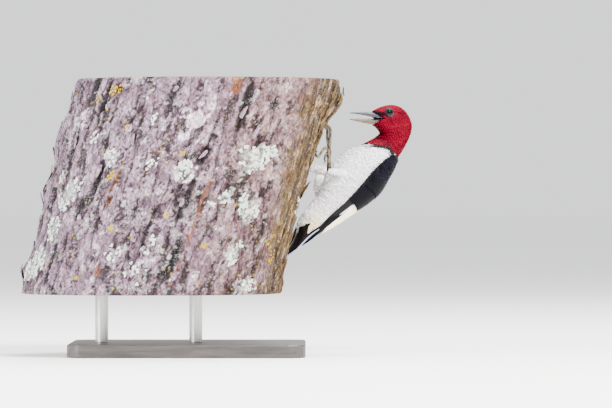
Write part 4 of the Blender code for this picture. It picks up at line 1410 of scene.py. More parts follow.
def wing_form(side):
    """The wing itself, under its feathers, with the same black and white."""
    q, s = np.meshgrid(np.linspace(0.03, 0.97, 30), np.linspace(11.8, 2.1, 90))
    outer = wing_point(s, q, 0.45)
    inner = wing_point(s, q, -0.1)[:, ::-1]
    points = mirrored(np.concatenate((outer, inner), axis=1), side)
    points = np.concatenate((points, drawn_in(points[-1], 0.03)))
    black = wing_black(s, q)
    tint = blend(WHITE_SHADE, BLACK, np.concatenate((black, black[:, ::-1]), axis=1))
    tint = np.concatenate((tint, tint[-1:]))
    faces = round_faces(points)
    return points, faces[:, ::-1] if side > 0 else faces, tint


# ---------------------------------------------------------------- tufts of small feathers


MOST_TRIANGLES = 200000  # in one coat piece
BAKE_PATCH = 0.003  # how wide each tuft's or feather's patch is on the baking map
# One blade, from its point at the root to its point at the tip: share of its length, side, ridge
BLADE = np.array((
    (0, 0, 0), (0.3, -1, 0), (0.3, 1, 0), (0.3, 0, 1), (0.72, -0.75, 0), (0.72, 0.75, 0),
    (0.72, 0, 0.8), (1, 0, 0),
))
BLADE_FACES = np.array((
    (0, 1, 3), (0, 3, 2), (0, 2, 1), (1, 4, 6), (1, 6, 3), (3, 6, 5), (3, 5, 2), (2, 5, 4), (2, 4, 1),
    (4, 7, 6), (6, 7, 5), (5, 7, 4),
))
BLADE_UNDERSIDE = (2, 7, 8, 11)


def keep_apart(points, gap):
    """The places, taken in turn, that stand at least gap from all those already kept."""
    kept, chosen = {}, []
    least = gap * gap
    steps = list(product((-1, 0, 1), repeat=3))
    cells = np.floor(points / gap).astype(int).tolist()
    for number, ((i, j, k), (x, y, z)) in enumerate(zip(cells, points.tolist())):
        near = [spot for a, b, c in steps for spot in kept.get((i + a, j + b, k + c), ())]
        if all((px - x) ** 2 + (py - y) ** 2 + (pz - z) ** 2 >= least for px, py, pz in near):
            kept.setdefault((i, j, k), []).append((x, y, z))
            chosen.append(number)
    return np.array(chosen)


def scatter(surface, s_span, angle_span, gap, seed, wanted=None):
    """Evenly spread roots over a stretch of a surface, as its two numbers."""
    draw = np.random.default_rng(seed)
    count = 60000
    s = draw.uniform(*s_span, count)
    angle = draw.uniform(*angle_span, count)
    along, around = surface.slopes(s, angle)
    area = np.linalg.norm(np.cross(along, around), axis=-1)
    total = area.mean() * (s_span[1] - s_span[0]) * (angle_span[1] - angle_span[0])
    take = draw.uniform(0.0, area.max(), count) < area
    s, angle = s[take], angle[take]
    enough = min(len(s), int(total / gap**2 * 5))
    s, angle = s[:enough], angle[:enough]
    if wanted is not None:
        good = wanted(s, angle)
        s, angle = s[good], angle[good]
    chosen = keep_apart(surface.point(s, angle), gap)
    return s[chosen], angle[chosen]


def fans(draw, count, length, width, blades, depth, ruffle):
    """How far each point of each blade is from its tuft's root: tailwards, sideways and outwards."""
    size = draw.uniform(0.85, 1.15, (count, 1))
    across = np.linspace(-1.0, 1.0, blades)[None] + draw.uniform(-0.12, 0.12, (count, blades))
    reach = (1.0 - 0.3 * across**2) * draw.uniform(0.82, 1.08, (count, blades)) * size
    share, side, ridge = BLADE.T
    spread = 0.22 + 0.78 * np.sin(np.clip(share / 0.75, 0.0, 1.0) * math.pi / 2)
    twist = draw.uniform(-0.22, 0.22, (count, 1, 1)) * ruffle
    tailwards = (length * reach)[..., None] * share
    sideways = (across * width * size * 0.5)[..., None] * spread
    sideways = sideways + side * (width / blades) + twist * tailwards
    low, high, thick = depth
    lift = low + (high - low) * share**0.75 + draw.uniform(-0.1, 0.1, (count, 1, 1)) * ruffle
    edge_drop = 0.28 * ruffle * (high - low) * (across**2)[..., None]
    uneven = draw.uniform(-0.5, 0.5, (count, blades, 1)) * thick * ruffle
    return tailwards, sideways, lift - edge_drop + ridge * thick + uneven


def bake_place(s, angle):
    """Where the root of a tuft or feather lies on the baking map."""
    return np.stack((angle / FULL % 1.0, s / HEAD_FRONT), -1)


def baking_map(root, across, along):
    """Places on the baking map: a small patch round the place of each tuft's or feather's root."""
    patch = np.stack(np.broadcast_arrays(across, along), -1)
    return np.clip(root[:, None, None] + patch * BAKE_PATCH, 0.0, 1.0).reshape(-1, 2)


def tufts(surface, s, angle, tint, bake, seed, length, width, blades, depth, ruffle):
    """Feathers at the given roots, each a fan of thin pointed blades that lies along the body.

    depth is (root, tip, blade thickness). The result is points, triangles, colours and the map.
    """
    draw = np.random.default_rng(seed)
    count = len(s)
    u, v, h = fans(draw, count, length, width, blades, depth, ruffle)
    flat = (count, blades * len(BLADE))
    at_s, at_angle = surface.moved(s, angle, u.reshape(flat), v.reshape(flat))
    points = surface.raised(at_s, at_angle, h.reshape(flat))
    starts = (np.arange(count * blades) * len(BLADE))[:, None, None]
    faces = (BLADE_FACES[None] + starts).reshape(-1, 3)
    # painted shade: each blade is a little darker at its root than at its tip, where the overlapping
    # tufts shade it
    glow = (0.95 + 0.07 * BLADE[:, 0]) + draw.uniform(-0.03, 0.03, (count, blades, 1))
    colours = tint[:, None, None, :] * glow[..., None] * draw.uniform(0.96, 1.04, (count, 1, 1, 1))
    uv = baking_map(bake, v / (width + 1e-6), u / (length * 1.2) - 0.5)
    return points.reshape(-1, 3), faces, colours.reshape(-1, 3), uv


def coat_piece(name, sets, kind):
    """Several sets of tufts or feathers, whose faces have one size, as one named coat piece."""
    points, faces, tint = joined([made[:3] for made in sets])
    uv = np.concatenate([made[3] for made in sets])
    hard = np.zeros(len(faces), bool)
    if faces.shape[1] == 3:
        hard = np.isin(np.arange(len(faces)) % len(BLADE_FACES), BLADE_UNDERSIDE)
    material = bpy.data.materials[f"{kind}_plumage"]
    bird_piece(name, points, faces, tint, material, f"plumage_{kind}", uv=uv, hard=hard)
    assert len(faces) * (faces.shape[1] - 2) < MOST_TRIANGLES, name


def on_skin(s_span, angle_span, gap, seed, look, wanted=None):
    """Tufts spread over a stretch of the body, coloured by its markings."""
    s, angle = scatter(SKIN, s_span, angle_span, gap, seed, wanted)
    tint = markings(s, angle % FULL, OUTLINE.point(s, angle))
    low, high, thick = look["depth"]
    depth = (low, high + stand_out(s, angle)[:, None, None], thick)
    look = {**look, "depth": depth}
    return tufts(SKIN, s, angle, tint, bake_place(s, angle), seed + 1, **look)


def face_feathered(s, angle):
    points = OUTLINE.point(s, angle)
    inside = bare_for_bill(points) * step_up(s, 19.0, 20.5)
    return (from_eye(points) > LID_EDGE - 0.1) & (inside < 0.3)


def clear_of_wing(s, angle):
    """Leaves out the places that a folded wing covers, but for a little way under its edges."""
    low, high = wing_angle(s, 0.0), wing_angle(s, 1.0)
    side = from_below(angle)
    under = (s < 12.0) & (s > 1.9) & (side > low + 5.0) & (side < high - 3.0)
    return ~under


def stand_out(s, angle):
    """How much further than elsewhere the tips of the head's feathers stand out."""
    side = from_below(angle)
    throat = 1.9 * (1 - step_up(side, 30.0, 62.0)) * step_up(s, 13.6, 15.6)
    nape = 1.5 * step_up(side, 118.0, 150.0) * step_up(s, 13.6, 16.0)
    return throat * (1 - step_up(s, 21.5, 23.0)) + nape * (1 - step_up(s, 19.5, 21.2))


def tuft_look(length, width, blades, depth, ruffle):
    """What tufts look like; depth is (root, tip, blade thickness)."""
    return dict(length=length, width=width, blades=blades, depth=depth, ruffle=ruffle)


ROUND = (0.0, FULL)
FACE_TUFT = tuft_look(2.5, 1.6, 4, (0.1, 0.6, 0.06), 0.6)
CROWN_TUFT = tuft_look(4.0, 2.2, 5, (0.15, 0.85, 0.06), 0.6)
NAPE_TUFT = tuft_look(5.6, 3.0, 6, (0.2, 1.15, 0.07), 0.6)
NECK_TUFT = tuft_look(6.4, 3.6, 7, (0.25, 1.25, 0.07), 0.7)
NECK_EDGE_TUFT = tuft_look(4.0, 2.6, 5, (0.3, 1.25, 0.06), 0.7)
COLLAR_TUFT = tuft_look(4.4, 2.6, 5, (0.35, 1.3, 0.05), 0.5)
SILKY_TUFT = tuft_look(9.0, 6.0, 11, (0.3, 0.85, 0.04), 0.35)
UNDERTAIL_TUFT = tuft_look(8.0, 4.6, 9, (0.3, 1.1, 0.05), 0.5)
SCAPULAR_TUFT = tuft_look(11.0, 6.5, 11, (0.8, 4.3, 0.07), 0.4)
THIGH_TUFT = tuft_look(7.0, 4.0, 8, (0.2, 1.2, 0.06), 0.8)
LESSER_TUFT = tuft_look(7.0, 5.0, 8, (0.3, 1.1, 0.06), 0.5)


COLLAR_HALF, RED_EDGE_HALF = 0.23, 0.16  # half the width of the bands, in stations


def red_neck(s, angle):
    return s > collar_line(angle) + 0.3


def red_edge(s, angle):
    """A narrow band of the red, next to the collar."""
    return np.abs(s - collar_line(angle) - RED_EDGE_HALF) < RED_EDGE_HALF


def black_collar(s, angle):
    return np.abs(s - collar_line(angle) + COLLAR_HALF) < COLLAR_HALF


def below_collar(s, angle):
    return clear_of_wing(s, angle) & (s < collar_line(angle) - 2 * COLLAR_HALF)


def black_mantle(s, angle):
    return clear_of_wing(s, angle) & (s < collar_line(angle))


def over_tail_root(s, angle):
    """Where the white coverts are rooted: ahead of the places that they cover."""
    covered = tail_covert(s - COVERT_AHEAD, from_below(angle))
    return clear_of_wing(s, angle) & (covered > 0.5)


def make_head_coat():
    face = on_skin((21.0, 23.95), ROUND, 0.8, 201, FACE_TUFT, face_feathered)
    crown = on_skin((17.6, 21.2), ROUND, 1.05, 203, CROWN_TUFT, face_feathered)
    coat_piece("coat_head", [face, crown], "red")
    coat_piece("coat_nape", [on_skin((14.6, 17.8), ROUND, 1.25, 205, NAPE_TUFT)], "red")
    low = on_skin((12.7, 14.8), ROUND, 1.5, 207, NECK_TUFT, red_neck)
    edge = on_skin((12.1, 13.5), ROUND, 1.15, 209, NECK_EDGE_TUFT, red_edge)
    coat_piece("coat_neck", [low, edge], "red")


def make_body_coat():
    shoulder = on_skin((8.4, 12.9), (-150.0, 150.0), 2.1, 211, SILKY_TUFT, below_collar)
    collar = on_skin((11.6, 13.2), (-150.0, 150.0), 1.0, 221, COLLAR_TUFT, black_collar)
    coat_piece("coat_breast", [shoulder, collar], "white")
    belly = on_skin((4.0, 8.6), (-130.0, 130.0), 2.1, 213, SILKY_TUFT, clear_of_wing)
    coat_piece("coat_belly", [belly], "white")
    under = on_skin((2.8, 4.6), (-120.0, 120.0), 1.8, 215, UNDERTAIL_TUFT, over_tail_root)
    coat_piece("coat_undertail", [under], "white")
    back = on_skin((6.7, 12.4), (128.0, 232.0), 2.1, 217, SILKY_TUFT, black_mantle)
    coat_piece("coat_back", [back], "black")
    scapulars = on_skin((8.3, 11.9), (143.0, 217.0), 2.4, 223, SCAPULAR_TUFT)
    coat_piece("coat_scapulars", [scapulars], "black")
    rump = on_skin((2.9, 6.9), (145.0, 215.0), 2.0, 219, SILKY_TUFT, clear_of_wing)
    coat_piece("coat_rump", [rump], "white")


def clear_of_body(points):
    """True where places of a limb are clear of the body, so that they carry feathers."""
    rows = rows_at(BODY, np.linspace(4.0, 12.0, 90))
    low, high = rows[:, :2], rows[:, 2:4]
    far = np.linalg.norm(points[..., (0, 2)][:, None] - ((low + high) / 2)[None], axis=-1)
    best = far.argmin(axis=1)
    half = np.linalg.norm(high - low, axis=-1)[best] / 2
    off = far[np.arange(len(best)), best] / half
    return off**2 + (np.abs(points[..., 1]) / rows[best, 4]) ** 2 > 0.8


def limb_tufts(rows, seed):
    """The short feathers of a limb, which lie towards its heel and reach past it."""
    past_heel = rows[-1] + (rows[-1] - rows[-2]) * (1.4, 1.4, 1.4, 0.5)
    rows = np.vstack((limb_rows(rows), past_heel - (0.0, 0.0, 0.0, 1.2)))
    last = len(rows) - 1.0
    limb = tube_surface(rows)
    backwards = Surface(lambda s, angle: limb.point(last - s, -angle))
    s, angle = scatter(backwards, (0.5, last), ROUND, 1.5, seed)
    bare = clear_of_body(backwards.point(s, angle))
    s, angle = s[bare], angle[bare]
    creamy = 0.35 * step_up(fractal(backwards.point(s, angle), 8.0, 5, 2), 0.0, 0.6)
    bake = np.stack((0.1 + angle / FULL * 0.05, 0.3 + s * 0.02), -1)
    return tufts(backwards, s, angle, blend(WHITE, CREAM, creamy), bake, seed + 10, **THIGH_TUFT)


def make_thigh_coat():
    for side, limbs in (("left", (THIGHS["left"],)), ("right", (THIGHS["right"], FLANK_LOBE))):
        sets = [limb_tufts(rows, 231 + number) for number, rows in enumerate(limbs)]
        coat_piece(f"coat_thigh_{side}", sets, "white")


# ---------------------------------------------------------------- flight feathers


ALONG_VANE = np.linspace(0.0, 1.0, 26)
ACROSS_VANE = np.linspace(-1.0, 1.0, 9)


def beside_shaft(draw, count, width, point):
    """How far each place of each vane lies beside its shaft in mm, with a few barbs split."""
    grow = 0.5 + 0.5 * step_up(ALONG_VANE, 0.0, 0.35)
    round_tip = (1 - np.clip((ALONG_VANE - 0.62) / 0.38, 0.0, 1.0) ** point) ** (1 / point)
    half = np.broadcast_to(width, count)[:, None] * (grow * np.maximum(round_tip, 0.02)) / 2
    nicks = 1 - 0.16 * (draw.uniform(0, 1, (count, len(ALONG_VANE), 2)) > 0.86)
    edge = np.where(ACROSS_VANE < 0, nicks[..., :1], nicks[..., 1:])
    return ACROSS_VANE * half[..., None] * (1 - (1 - edge) * np.abs(ACROSS_VANE) ** 4)


def vanes(place, s_root, q_root, s_tip, q_tip, width, level, tint, bake, seed, point,
          thick=0.22, sink=0.22, lift=0.0):
    """Long single feathers, each a thin closed vane with a raised shaft, for the left side.

    place gives points from two numbers and a level; q is moved in millimetres across the lie.
    """
    draw = np.random.default_rng(seed)
    count, t, side = len(s_root), ALONG_VANE[:, None], ACROSS_VANE
    s_line = s_root[:, None] + (s_tip - s_root)[:, None] * ALONG_VANE
    q_line = q_root[:, None] + (q_tip - q_root)[:, None] * ALONG_VANE**1.25
    step = 0.02
    beside = place(s_line, q_line + step, level[:, None])
    per_q = np.linalg.norm(beside - place(s_line, q_line, level[:, None]), axis=-1) / step
    q = q_line[..., None] + beside_shaft(draw, count, width, point) / np.maximum(per_q, 0.12)[..., None]
    s = np.broadcast_to(s_line[..., None], q.shape)
    levels = level[:, None, None] - (1.0 - t) ** 3 * sink + t**6 * lift
    base = place(s, q, levels)
    up = unit(place(s, q, levels + 0.25) - base)
    crown = 0.55 * (1 - side**2) + 0.2 * np.exp(-((side / 0.14) ** 2)) - 0.15 * side
    barbs = 0.05 * np.sin(t * 190.0 + np.abs(side) * 9.0)
    top = base + up * (crown + barbs)[..., None]
    under = base + up * (crown - thick)[..., None]
    rings = np.concatenate((top, under[:, :, ::-1]), axis=2)
    starts = np.arange(count) * rings[0, ..., 0].size
    faces = (round_faces(rings[0])[:, ::-1] + starts[:, None, None]).reshape(-1, 4)
    streak = 1 + 0.1 * noise(base, 0.9, seed) + draw.uniform(-0.06, 0.06, (count, 1, 1))
    colours = tint * streak[..., None]
    # painted shade: each vane's underside is coloured a tenth darker than its top
    colours = np.concatenate((colours, colours[:, :, ::-1] * 0.9), axis=2)
    uv = baking_map(bake, np.concatenate((side, side[::-1])) * 0.5, t - 0.5)
    return rings.reshape(-1, 3), faces, colours.reshape(-1, 3), uv


def shafted(colour, shaft, edge):
    """A vane's colours from side to side: its own, a narrow shaft, and a paler or darker rim."""
    line = np.exp(-((ACROSS_VANE / 0.16) ** 2))
    row = np.broadcast_to(colour, (len(ACROSS_VANE), 3))
    return blend(blend(row, edge, np.abs(ACROSS_VANE) ** 6 * 0.7), shaft, line)


def on_both_sides(made):
    """A set of feathers of the left side, and the same ones on the right."""
    points, faces, tint, uv = made
    right = mirrored(points, -1.0), faces[:, ::-1], tint, uv * (-1.0, 1.0) + (1.0, 0.0)
    return [made, right]


# The layers of a folded wing from the lowest up: how many feathers; spans from the first feather
# to the last of their root's and tip's places, their width and level; and their shape
WING_LAYERS = {
    "primaries": (
        10, dict(s_root=(8.4, 7.6), s_tip=(3.3, 1.92), q_root=(0.15, 0.5), q_tip=(0.26, 0.82),
                 width=(8.0, 7.0), level=(0.15, 0.45)), dict(point=1.5, lift=0.9)),
    "secondaries": (
        12, dict(s_root=(7.5, 7.7), s_tip=(3.75, 3.45), q_root=(0.43, 0.95), q_tip=(0.66, 0.96),
                 width=(8.5, 9.0), level=(0.7, 1.6)), dict(point=2.2, sink=0.9)),
    "greater_coverts": (
        12, dict(s_root=(8.4, 8.2), s_tip=(6.4, 6.05), q_root=(0.13, 0.94), q_tip=(0.14, 0.95),
                 width=(8.0, 9.0), level=(0.65, 1.2)), dict(point=2.4, sink=0.4)),
    "median_coverts": (
        11, dict(s_root=(9.7, 9.5), s_tip=(7.9, 7.5), q_root=(0.13, 0.93), q_tip=(0.13, 0.94),
                 width=(8.0, 8.5), level=(0.75, 1.15)), dict(point=2.4, sink=0.4)),
}


def wing_layer(name):
    """The feathers of one layer of the left wing."""
    count, spans, shape = WING_LAYERS[name]
    share = np.linspace(0.0, 1.0, count)
    rows = {key: first + (last - first) * share for key, (first, last) in spans.items()}
    if name == "secondaries":
        tint = shafted(CREAM, CREAM_SHAFT, blend(CREAM, WHITE, 0.5))
    else:
        tint = shafted(VANE_BLACK, BLACK * 0.6, BLACK_BLUE)
    bake = bake_place(rows["s_root"], wing_angle(rows["s_root"], rows["q_root"]))
    return vanes(wing_point, tint=tint, bake=bake, seed=301 + len(name), **rows, **shape)


def make_wings():
    for name in WING_LAYERS:
        kind = "white" if name == "secondaries" else "black"
        coat_piece(name, on_both_sides(wing_layer(name)), kind)
    s, q = scatter(WING_TOP, (8.7, 11.95), (0.09, 0.98), 1.9, 321)
    tint = blend(BLACK, BLACK_BLUE * 1.25, step_up(noise(wing_point(s, q), 6.0, 3), -0.5, 0.4))
    bake = bake_place(s, wing_angle(s, q))
    left, right = on_both_sides(tufts(WING_TOP, s, q, tint, bake, 323, **LESSER_TUFT))
    coat_piece("lesser_coverts_left", [left], "black")
    coat_piece("lesser_coverts_right", [right], "black")


def tail_place(s, angle, level):
    """A place over the tail: level 1 is the tail's own outline, and less lies deeper."""
    return OUTLINE.raised(s, angle, (level - 1.0) * 1.2 - 0.5)


# Tail feathers of one side: the angle round the tail at the root and at the tip, the stations of
# both, width, and level; the last one is the pale edge of the outermost feather
TAIL_FEATHERS = (
    (24, 30, 3.95, 0.12, 8, 0.55), (44, 52, 3.95, 0.16, 8, 0.61), (64, 68, 3.95, 0.22, 8, 0.67),
    (84, 82, 3.95, 0.3, 7.5, 0.74), (104, 96, 3.95, 0.36, 6.5, 0.8), (172, 168, 3.95, 0.05, 10, 0.55),
    (156, 150, 3.95, 0.1, 9, 0.61), (140, 132, 3.95, 0.2, 8.5, 0.67), (124, 114, 3.95, 0.3, 8, 0.74),
    (121, 99, 3.9, 0.1, 6.6, 1.7), (122, 93, 3.5, 0.03, 2.6, 2.3),
)


def make_tail():
    """Stiff pointed feathers that overlap round the tail, with a pale outer edge on each side."""
    sets = []
    for number, (q_root, q_tip, s_root, s_tip, width, level) in enumerate(TAIL_FEATHERS):
        pale = number == len(TAIL_FEATHERS) - 1
        tint = TAIL_EDGE if pale else shafted(BLACK_BROWN, BLACK * 0.7, BLACK)
        rows = dict(s_root=s_root, q_root=q_root, s_tip=s_tip, q_tip=q_tip, level=level)
        rows = {key: np.array([value]) for key, value in rows.items()}
        bake = bake_place(rows["s_root"], rows["q_root"])
        point = 3.0 if pale else 1.3
        sets += on_both_sides(vanes(tail_place, width=width, tint=tint, bake=bake,
                                    seed=341 + number, point=point, thick=0.3, **rows))
    coat_piece("tail_feathers", sets, "black")


# ---------------------------------------------------------------- bill, mouth and eyes


def bill_grid(rows, upper):
    """A bill half as a grid: a ridge along its outer side, flatter towards the mouth."""
    share, turn = np.meshgrid(np.linspace(0.0, 1.0, 90), turns(40), indexing="ij")
    row = rows_at(rows, share * (len(rows) - 1))
    high = -np.cos(turn)
    outer = high if upper else -high
    flatter = np.where(outer < 0, np.sign(high) * np.abs(high) ** 0.75, high)
    narrow = 1.0 - 0.3 * np.clip(outer, 0.0, 1.0) ** 2 + 0.1 * np.clip(-outer, 0.0, 1.0)
    groove = 1.0 - 0.05 * np.exp(-(((outer - 0.45) / 0.16) ** 2)) * step_up(0.75 - share, 0.0, 0.3)
    low, top = row[..., 0:2], row[..., 2:4]
    line = (low + top) / 2 + (top - low) / 2 * flatter[..., None]
    points = np.stack((line[..., 0], -row[..., 4] * np.sin(turn) * narrow * groove, line[..., 1]), -1)
    points = np.concatenate((points, drawn_in(points[-1], 0.05)))
    return points, np.vstack((share, share[-1:])), np.vstack((outer, outer[-1:]))


def bill_tint(points, share, outer, pale):
    """Dark horn that pales towards the outer side, with a grey line along the cutting edge."""
    layers = fractal(points * (0.3, 1.0, 1.0), 2.4, 131, 3)
    colour = blend(HORN_DARK, pale, step_up(outer, -0.45, 0.5))
    dark = 0.35 * step_up(layers, 0.0, 0.7) + 0.3 * step_up(share, 0.8, 1.0)
    colour = blend(colour, HORN_DARK, dark)
    cutting_edge = np.exp(-(((outer + 0.55) / 0.16) ** 2))
    return blend(colour, HORN_EDGE, 0.4 * cutting_edge)


def make_bill():
    horn = horn_finish("bill_horn_layers", 0.34, 900.0)
    for half, rows, pale in (("upper", BILL_UPPER, HORN_PALE), ("lower", BILL_LOWER, HORN_LOWER)):
        points, share, outer = bill_grid(rows, half == "upper")
        tint = bill_tint(points, share, outer, pale)
        faces = round_faces(points)[:, ::-1]
        bird_piece(f"bill_{half}_horn", points, faces, tint, horn, "bill_horn",
                   replaces=(f"bill_{half}",))
    points = bill_grid(TONGUE, True)[0]
    tint = blend(TONGUE_PINK, TONGUE_DARK, step_up(fractal(points, 1.2, 7, 2), -0.2, 0.6))
    moist = skin_finish("tongue_skin", 0.3, 2200.0, 0.1)
    bird_piece("tongue_flesh", points, round_faces(points)[:, ::-1], tint, moist, "tongue_pink",
               replaces=("tongue",))


def eye_point(out, ahead, up):
    """A place given from the left eye's centre along its own axes."""
    out, ahead, up = (np.asarray(value)[..., None] for value in (out, ahead, up))
    return EYE_CENTRE + EYE_OUT * out + EYE_AHEAD * ahead + EYE_UP * up


def eyeball():
    """The left eyeball's points and colours: a dark iris, only just paler than the pupil."""
    around, slope = np.meshgrid(turns(64), np.radians(np.linspace(0.5, 179.5, 60)))
    degrees = np.degrees(slope)
    radius = EYE_RADIUS + 0.18 * np.exp(-((degrees / 32.0) ** 2)) - 0.08
    wide = radius * np.sin(slope)
    points = eye_point(radius * np.cos(slope), wide * np.cos(around), wide * np.sin(around))
    rays = np.stack((np.cos(around) * 6, np.sin(around) * 6, slope * 0.4), -1)
    streaks = 0.7 + 0.3 * noise(rays, 0.5, 5)
    iris = IRIS * (0.6 + 0.6 * streaks[..., None])
    tint = blend(np.broadcast_to(PUPIL, iris.shape), iris, step_up(degrees, 29.0, 32.0))
    return points, blend(tint, EYE_RIM, step_up(degrees, 44.0, 50.0))


# The bare ring's section: how far from the eye's axis, and how far out
LID_SECTION = np.array((
    (3.2, 2.3), (3.32, 2.85), (3.55, 3.12), (3.85, 3.1), (4.25, 2.8), (4.75, 2.35), (5.3, 1.8),
    (5.9, 0.9),
))


def eyelids():
    """The bare ring round the left eye: points and colours, for a slightly almond eye, with a painted
    highlight on one side.
    """
    section = rows_at(LID_SECTION, np.linspace(0.0, len(LID_SECTION) - 1.0, 26))
    far, out = section[:, :1], section[:, 1:]
    turn = turns(96)
    inner = step_up(4.4 - far, 0.0, 1.0)
    almond = 1.0 - inner * (0.1 * np.sin(turn) ** 2 - 0.04 * np.cos(turn) ** 2)
    beads = 0.07 * np.cos(turn * 30.0) * np.exp(-(((far - 3.6) / 0.3) ** 2))
    creases = 0.09 * np.cos(turn * 3 + far * 7.0) * step_up(far, 3.7, 4.3)
    reach = far * almond
    points = eye_point(out + beads + creases, reach * np.cos(turn), reach * np.sin(turn))
    # painted highlight: the ring is paler on one side, behind and below the eye, as where light catches
    # it
    pale = (0.5 + 0.5 * np.cos(turn - math.radians(215.0))) ** 3 * step_up(far, 3.4, 4.0)
    tint = blend(np.broadcast_to(LID * 0.3, points.shape), LID * 0.95, pale)
    return points, blend(tint, LID_DARK, 1 - step_up(far, 3.5, 3.9))


def make_eyes():
    ball, bare = eye_finish(), skin_finish("bare_eye_ring", 0.55, 1700.0, 0.2)
    globe, tint = eyeball()
    ring, ring_tint = eyelids()
    for name, side in (("left", 1.0), ("right", -1.0)):
        flip = slice(None, None, -1 if side > 0 else 1)  # turns the left side's faces outwards
        bird_piece(f"eyeball_{name}", mirrored(globe, side), round_faces(globe)[:, flip], tint,
                   ball, "eye", replaces=(f"eye_{name}",))
        bird_piece(f"eyelids_{name}", mirrored(ring, side), round_faces(ring)[:, flip], ring_tint,
                   bare, "leg_scale")


# ---------------------------------------------------------------- feet


def swept(rows, sides, spacing, relief):
    """A tube along rows of x, y, z, radius; relief gives its swelling by distance and angle."""
    count = len(rows) - 1
    rough = rows_at(rows, np.linspace(0.0, count, 200))
    steps_between = np.linalg.norm(np.diff(rough[:, :3], axis=0), axis=-1)
    length = np.concatenate(([0.0], np.cumsum(steps_between)))
    steps = max(6, int(length[-1] / spacing))
    distance = np.linspace(0.0, length[-1], steps)
    line = np.stack([np.interp(distance, length, rough[:, k]) for k in range(4)], -1)
    along = unit(np.gradient(line[:, :3], axis=0))
    over = np.zeros_like(along)
    guide = unit(np.cross(along[0], (0.0, 1.0, 0.1)))
    for k in range(steps):
        guide = unit(guide - along[k] * (guide @ along[k]))
        over[k] = guide
    side = np.cross(along, over)
    turn = turns(sides)
    from_end = np.minimum(distance, length[-1] - distance)[:, None]
    rounded = np.sqrt(1.0 - (1.0 - np.clip(from_end / line[:, 3:4], 0.02, 1.0)) ** 2)
    radius = line[:, 3:4] * rounded * (1 + relief(distance[:, None], turn[None]))
    ring = over[:, None] * np.cos(turn)[:, None] + side[:, None] * np.sin(turn)[:, None]
    points = line[:, None, :3] + ring * radius[..., None]
    first, last = (drawn_in(points[end], 0.05, line[end, :3]) for end in (0, -1))
    return np.concatenate((first, points, last)), distance, turn


def scutes(spacing, height):
    """Overlapping scales in front, small round ones behind, as a swelling of a tube."""

    def relief(distance, turn):
        front = step_up(np.cos(turn), -0.2, 0.5)
        saw = (distance / spacing) % 1.0
        plates = height * (0.3 + 0.7 * saw) * step_up(1.0 - saw, 0.0, 0.12)
        pebbles = 0.5 * height * np.cos(distance * math.tau / (spacing * 0.6)) * np.cos(turn * 5)
        return front * plates + (1 - front) * pebbles

    return relief


def limb_colour(points, distance, turn):
    seams = step_up((distance / 1.5) % 1.0, 0.86, 0.98)[:, None] * step_up(np.cos(turn), -0.2, 0.5)
    seams = np.concatenate((seams[:1], seams, seams[-1:]))
    mottled = fractal(points, 3.4, 141, 4)
    colour = blend(SCALE_GREY, SCALE_BROWN, step_up(mottled, -0.1, 0.35))
    return blend(colour, SCALE_DARK, 0.75 * seams)


def toe_rows(side, toe):
    shank = SHANKS[side][:, :3]
    knuckle = shank[-1] - 2.0 * unit(shank[-1] - shank[-2])
    first, second, rest = (np.array(spot) for spot in TOES[side][toe])
    if len(rest) == 2:
        rest = from_world(perch_point(rest[0], rest[1], TOE_RADIUS + 4 * GAP))
    line = np.stack((knuckle, first, second, rest))
    radius = TOE_RADIUS * np.array((1.2, 1.0, 1.0, 0.9))
    return np.column_stack((line, radius))


def into_bark(point):
    """The way straight into the bark from a point near it."""
    spot = to_world(point)
    angle = np.array(math.degrees(math.atan2(spot[1], spot[0] - perch_axis(spot[2]))))
    around = perch_point(angle + 2.0, spot[2]) - perch_point(angle - 2.0, spot[2])
    rise = perch_point(angle, spot[2] + 4.0) - perch_point(angle, spot[2] - 4.0)
    return from_world(BIRD_PLACE + unit(np.cross(rise, around)))


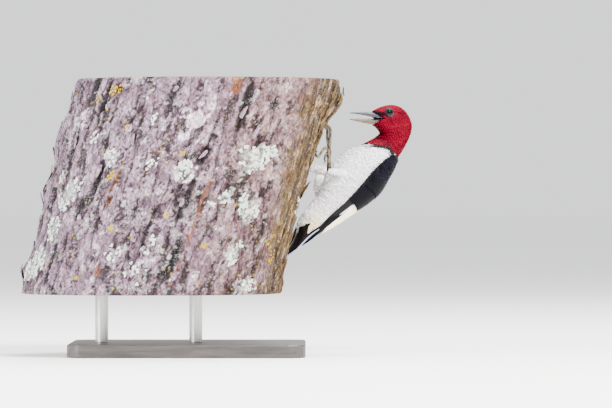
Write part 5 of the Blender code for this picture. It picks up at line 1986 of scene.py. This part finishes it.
def claw_rows(rows):
    """A claw's line: on past the toe's end, over and down towards the bark."""
    before, end = rows[-2, :3], rows[-1, :3]
    inward = into_bark(end)
    ahead = unit(end - before)
    along = unit(ahead - inward * (ahead @ inward))
    start = end + ahead * (GAP + 0.15)
    line = [start - ahead * 2.2, start + ahead * (CLAW_LENGTH * 0.12)]
    for reach, dip in ((0.36, -1.2), (0.62, -1.1), (0.8, -0.5)):
        line.append(start + along * (CLAW_LENGTH * reach) + inward * dip)
    radius = TOE_RADIUS * np.array((0.75, 0.8, 0.66, 0.42, 0.08))
    return np.column_stack((np.array(line), radius))


def claw_relief(distance, turn):
    """A claw's fine layers, and its flatter sides."""
    return 0.03 * np.sin(distance * 5.0) - 0.15 * np.abs(np.sin(turn))


def make_claw(side, toe, horn):
    points = swept(claw_rows(toe_rows(side, toe)), 14, 0.18, claw_relief)[0]
    tint = blend(CLAW_PALE, CLAW_DARK, step_up(fractal(points, 1.5, 7, 2), -0.3, 0.4))
    bird_piece(f"claw_horn_{toe}_{side}", points, round_faces(points), tint, horn, "claw",
               replaces=(f"claw_{toe}_{side}",))


def scaly_limb(rows, thicker, relief, heel_height):
    """A shank or a toe in its scales, with painted shade round the heel, below the feathered thigh."""
    points, distance, turn = swept(rows * (1.0, 1.0, 1.0, thicker), 20, 0.22, relief)
    # painted shade: the shank is darkened just below the feathered thigh, as the thigh's shadow
    heel_shade = np.exp(-(((points[..., 2] - heel_height - 4.5) / 4.5) ** 2))
    tint = blend(limb_colour(points, distance, turn), SCALE_DARK * 0.4, 0.92 * heel_shade)
    return points, round_faces(points), tint


def make_feet():
    leather, horn = skin_finish("leg_scales", 0.55, 1500.0, 0.25), horn_finish("claw_horn", 0.3, 1200.0)
    for side, shank in SHANKS.items():
        heel_height = shank[0, 2]
        parts = [scaly_limb(shank, 1.2, scutes(1.5, 0.17), heel_height)]
        for toe in TOES[side]:
            parts.append(scaly_limb(toe_rows(side, toe), 1.12, scutes(1.1, 0.14), heel_height))
            make_claw(side, toe, horn)
        bird_piece(f"foot_scales_{side}", *joined(parts), leather, "leg_scale",
                   replaces=(f"foot_{side}",))


# ---------------------------------------------------------------- everything in turn

make_camera()
make_lights()
make_floor()
make_perch()
make_bark_growths()
dress_stand()
make_skin()
plumage_finish("red_plumage", 0.7, 0.0, 0.05)
plumage_finish("white_plumage", 0.75, 0.1, 0.2)
plumage_finish("black_plumage", 0.55, 0.0, 0.05)
make_head_coat()
make_body_coat()
make_thigh_coat()
make_wings()
make_tail()
make_bill()
make_eyes()
make_feet()
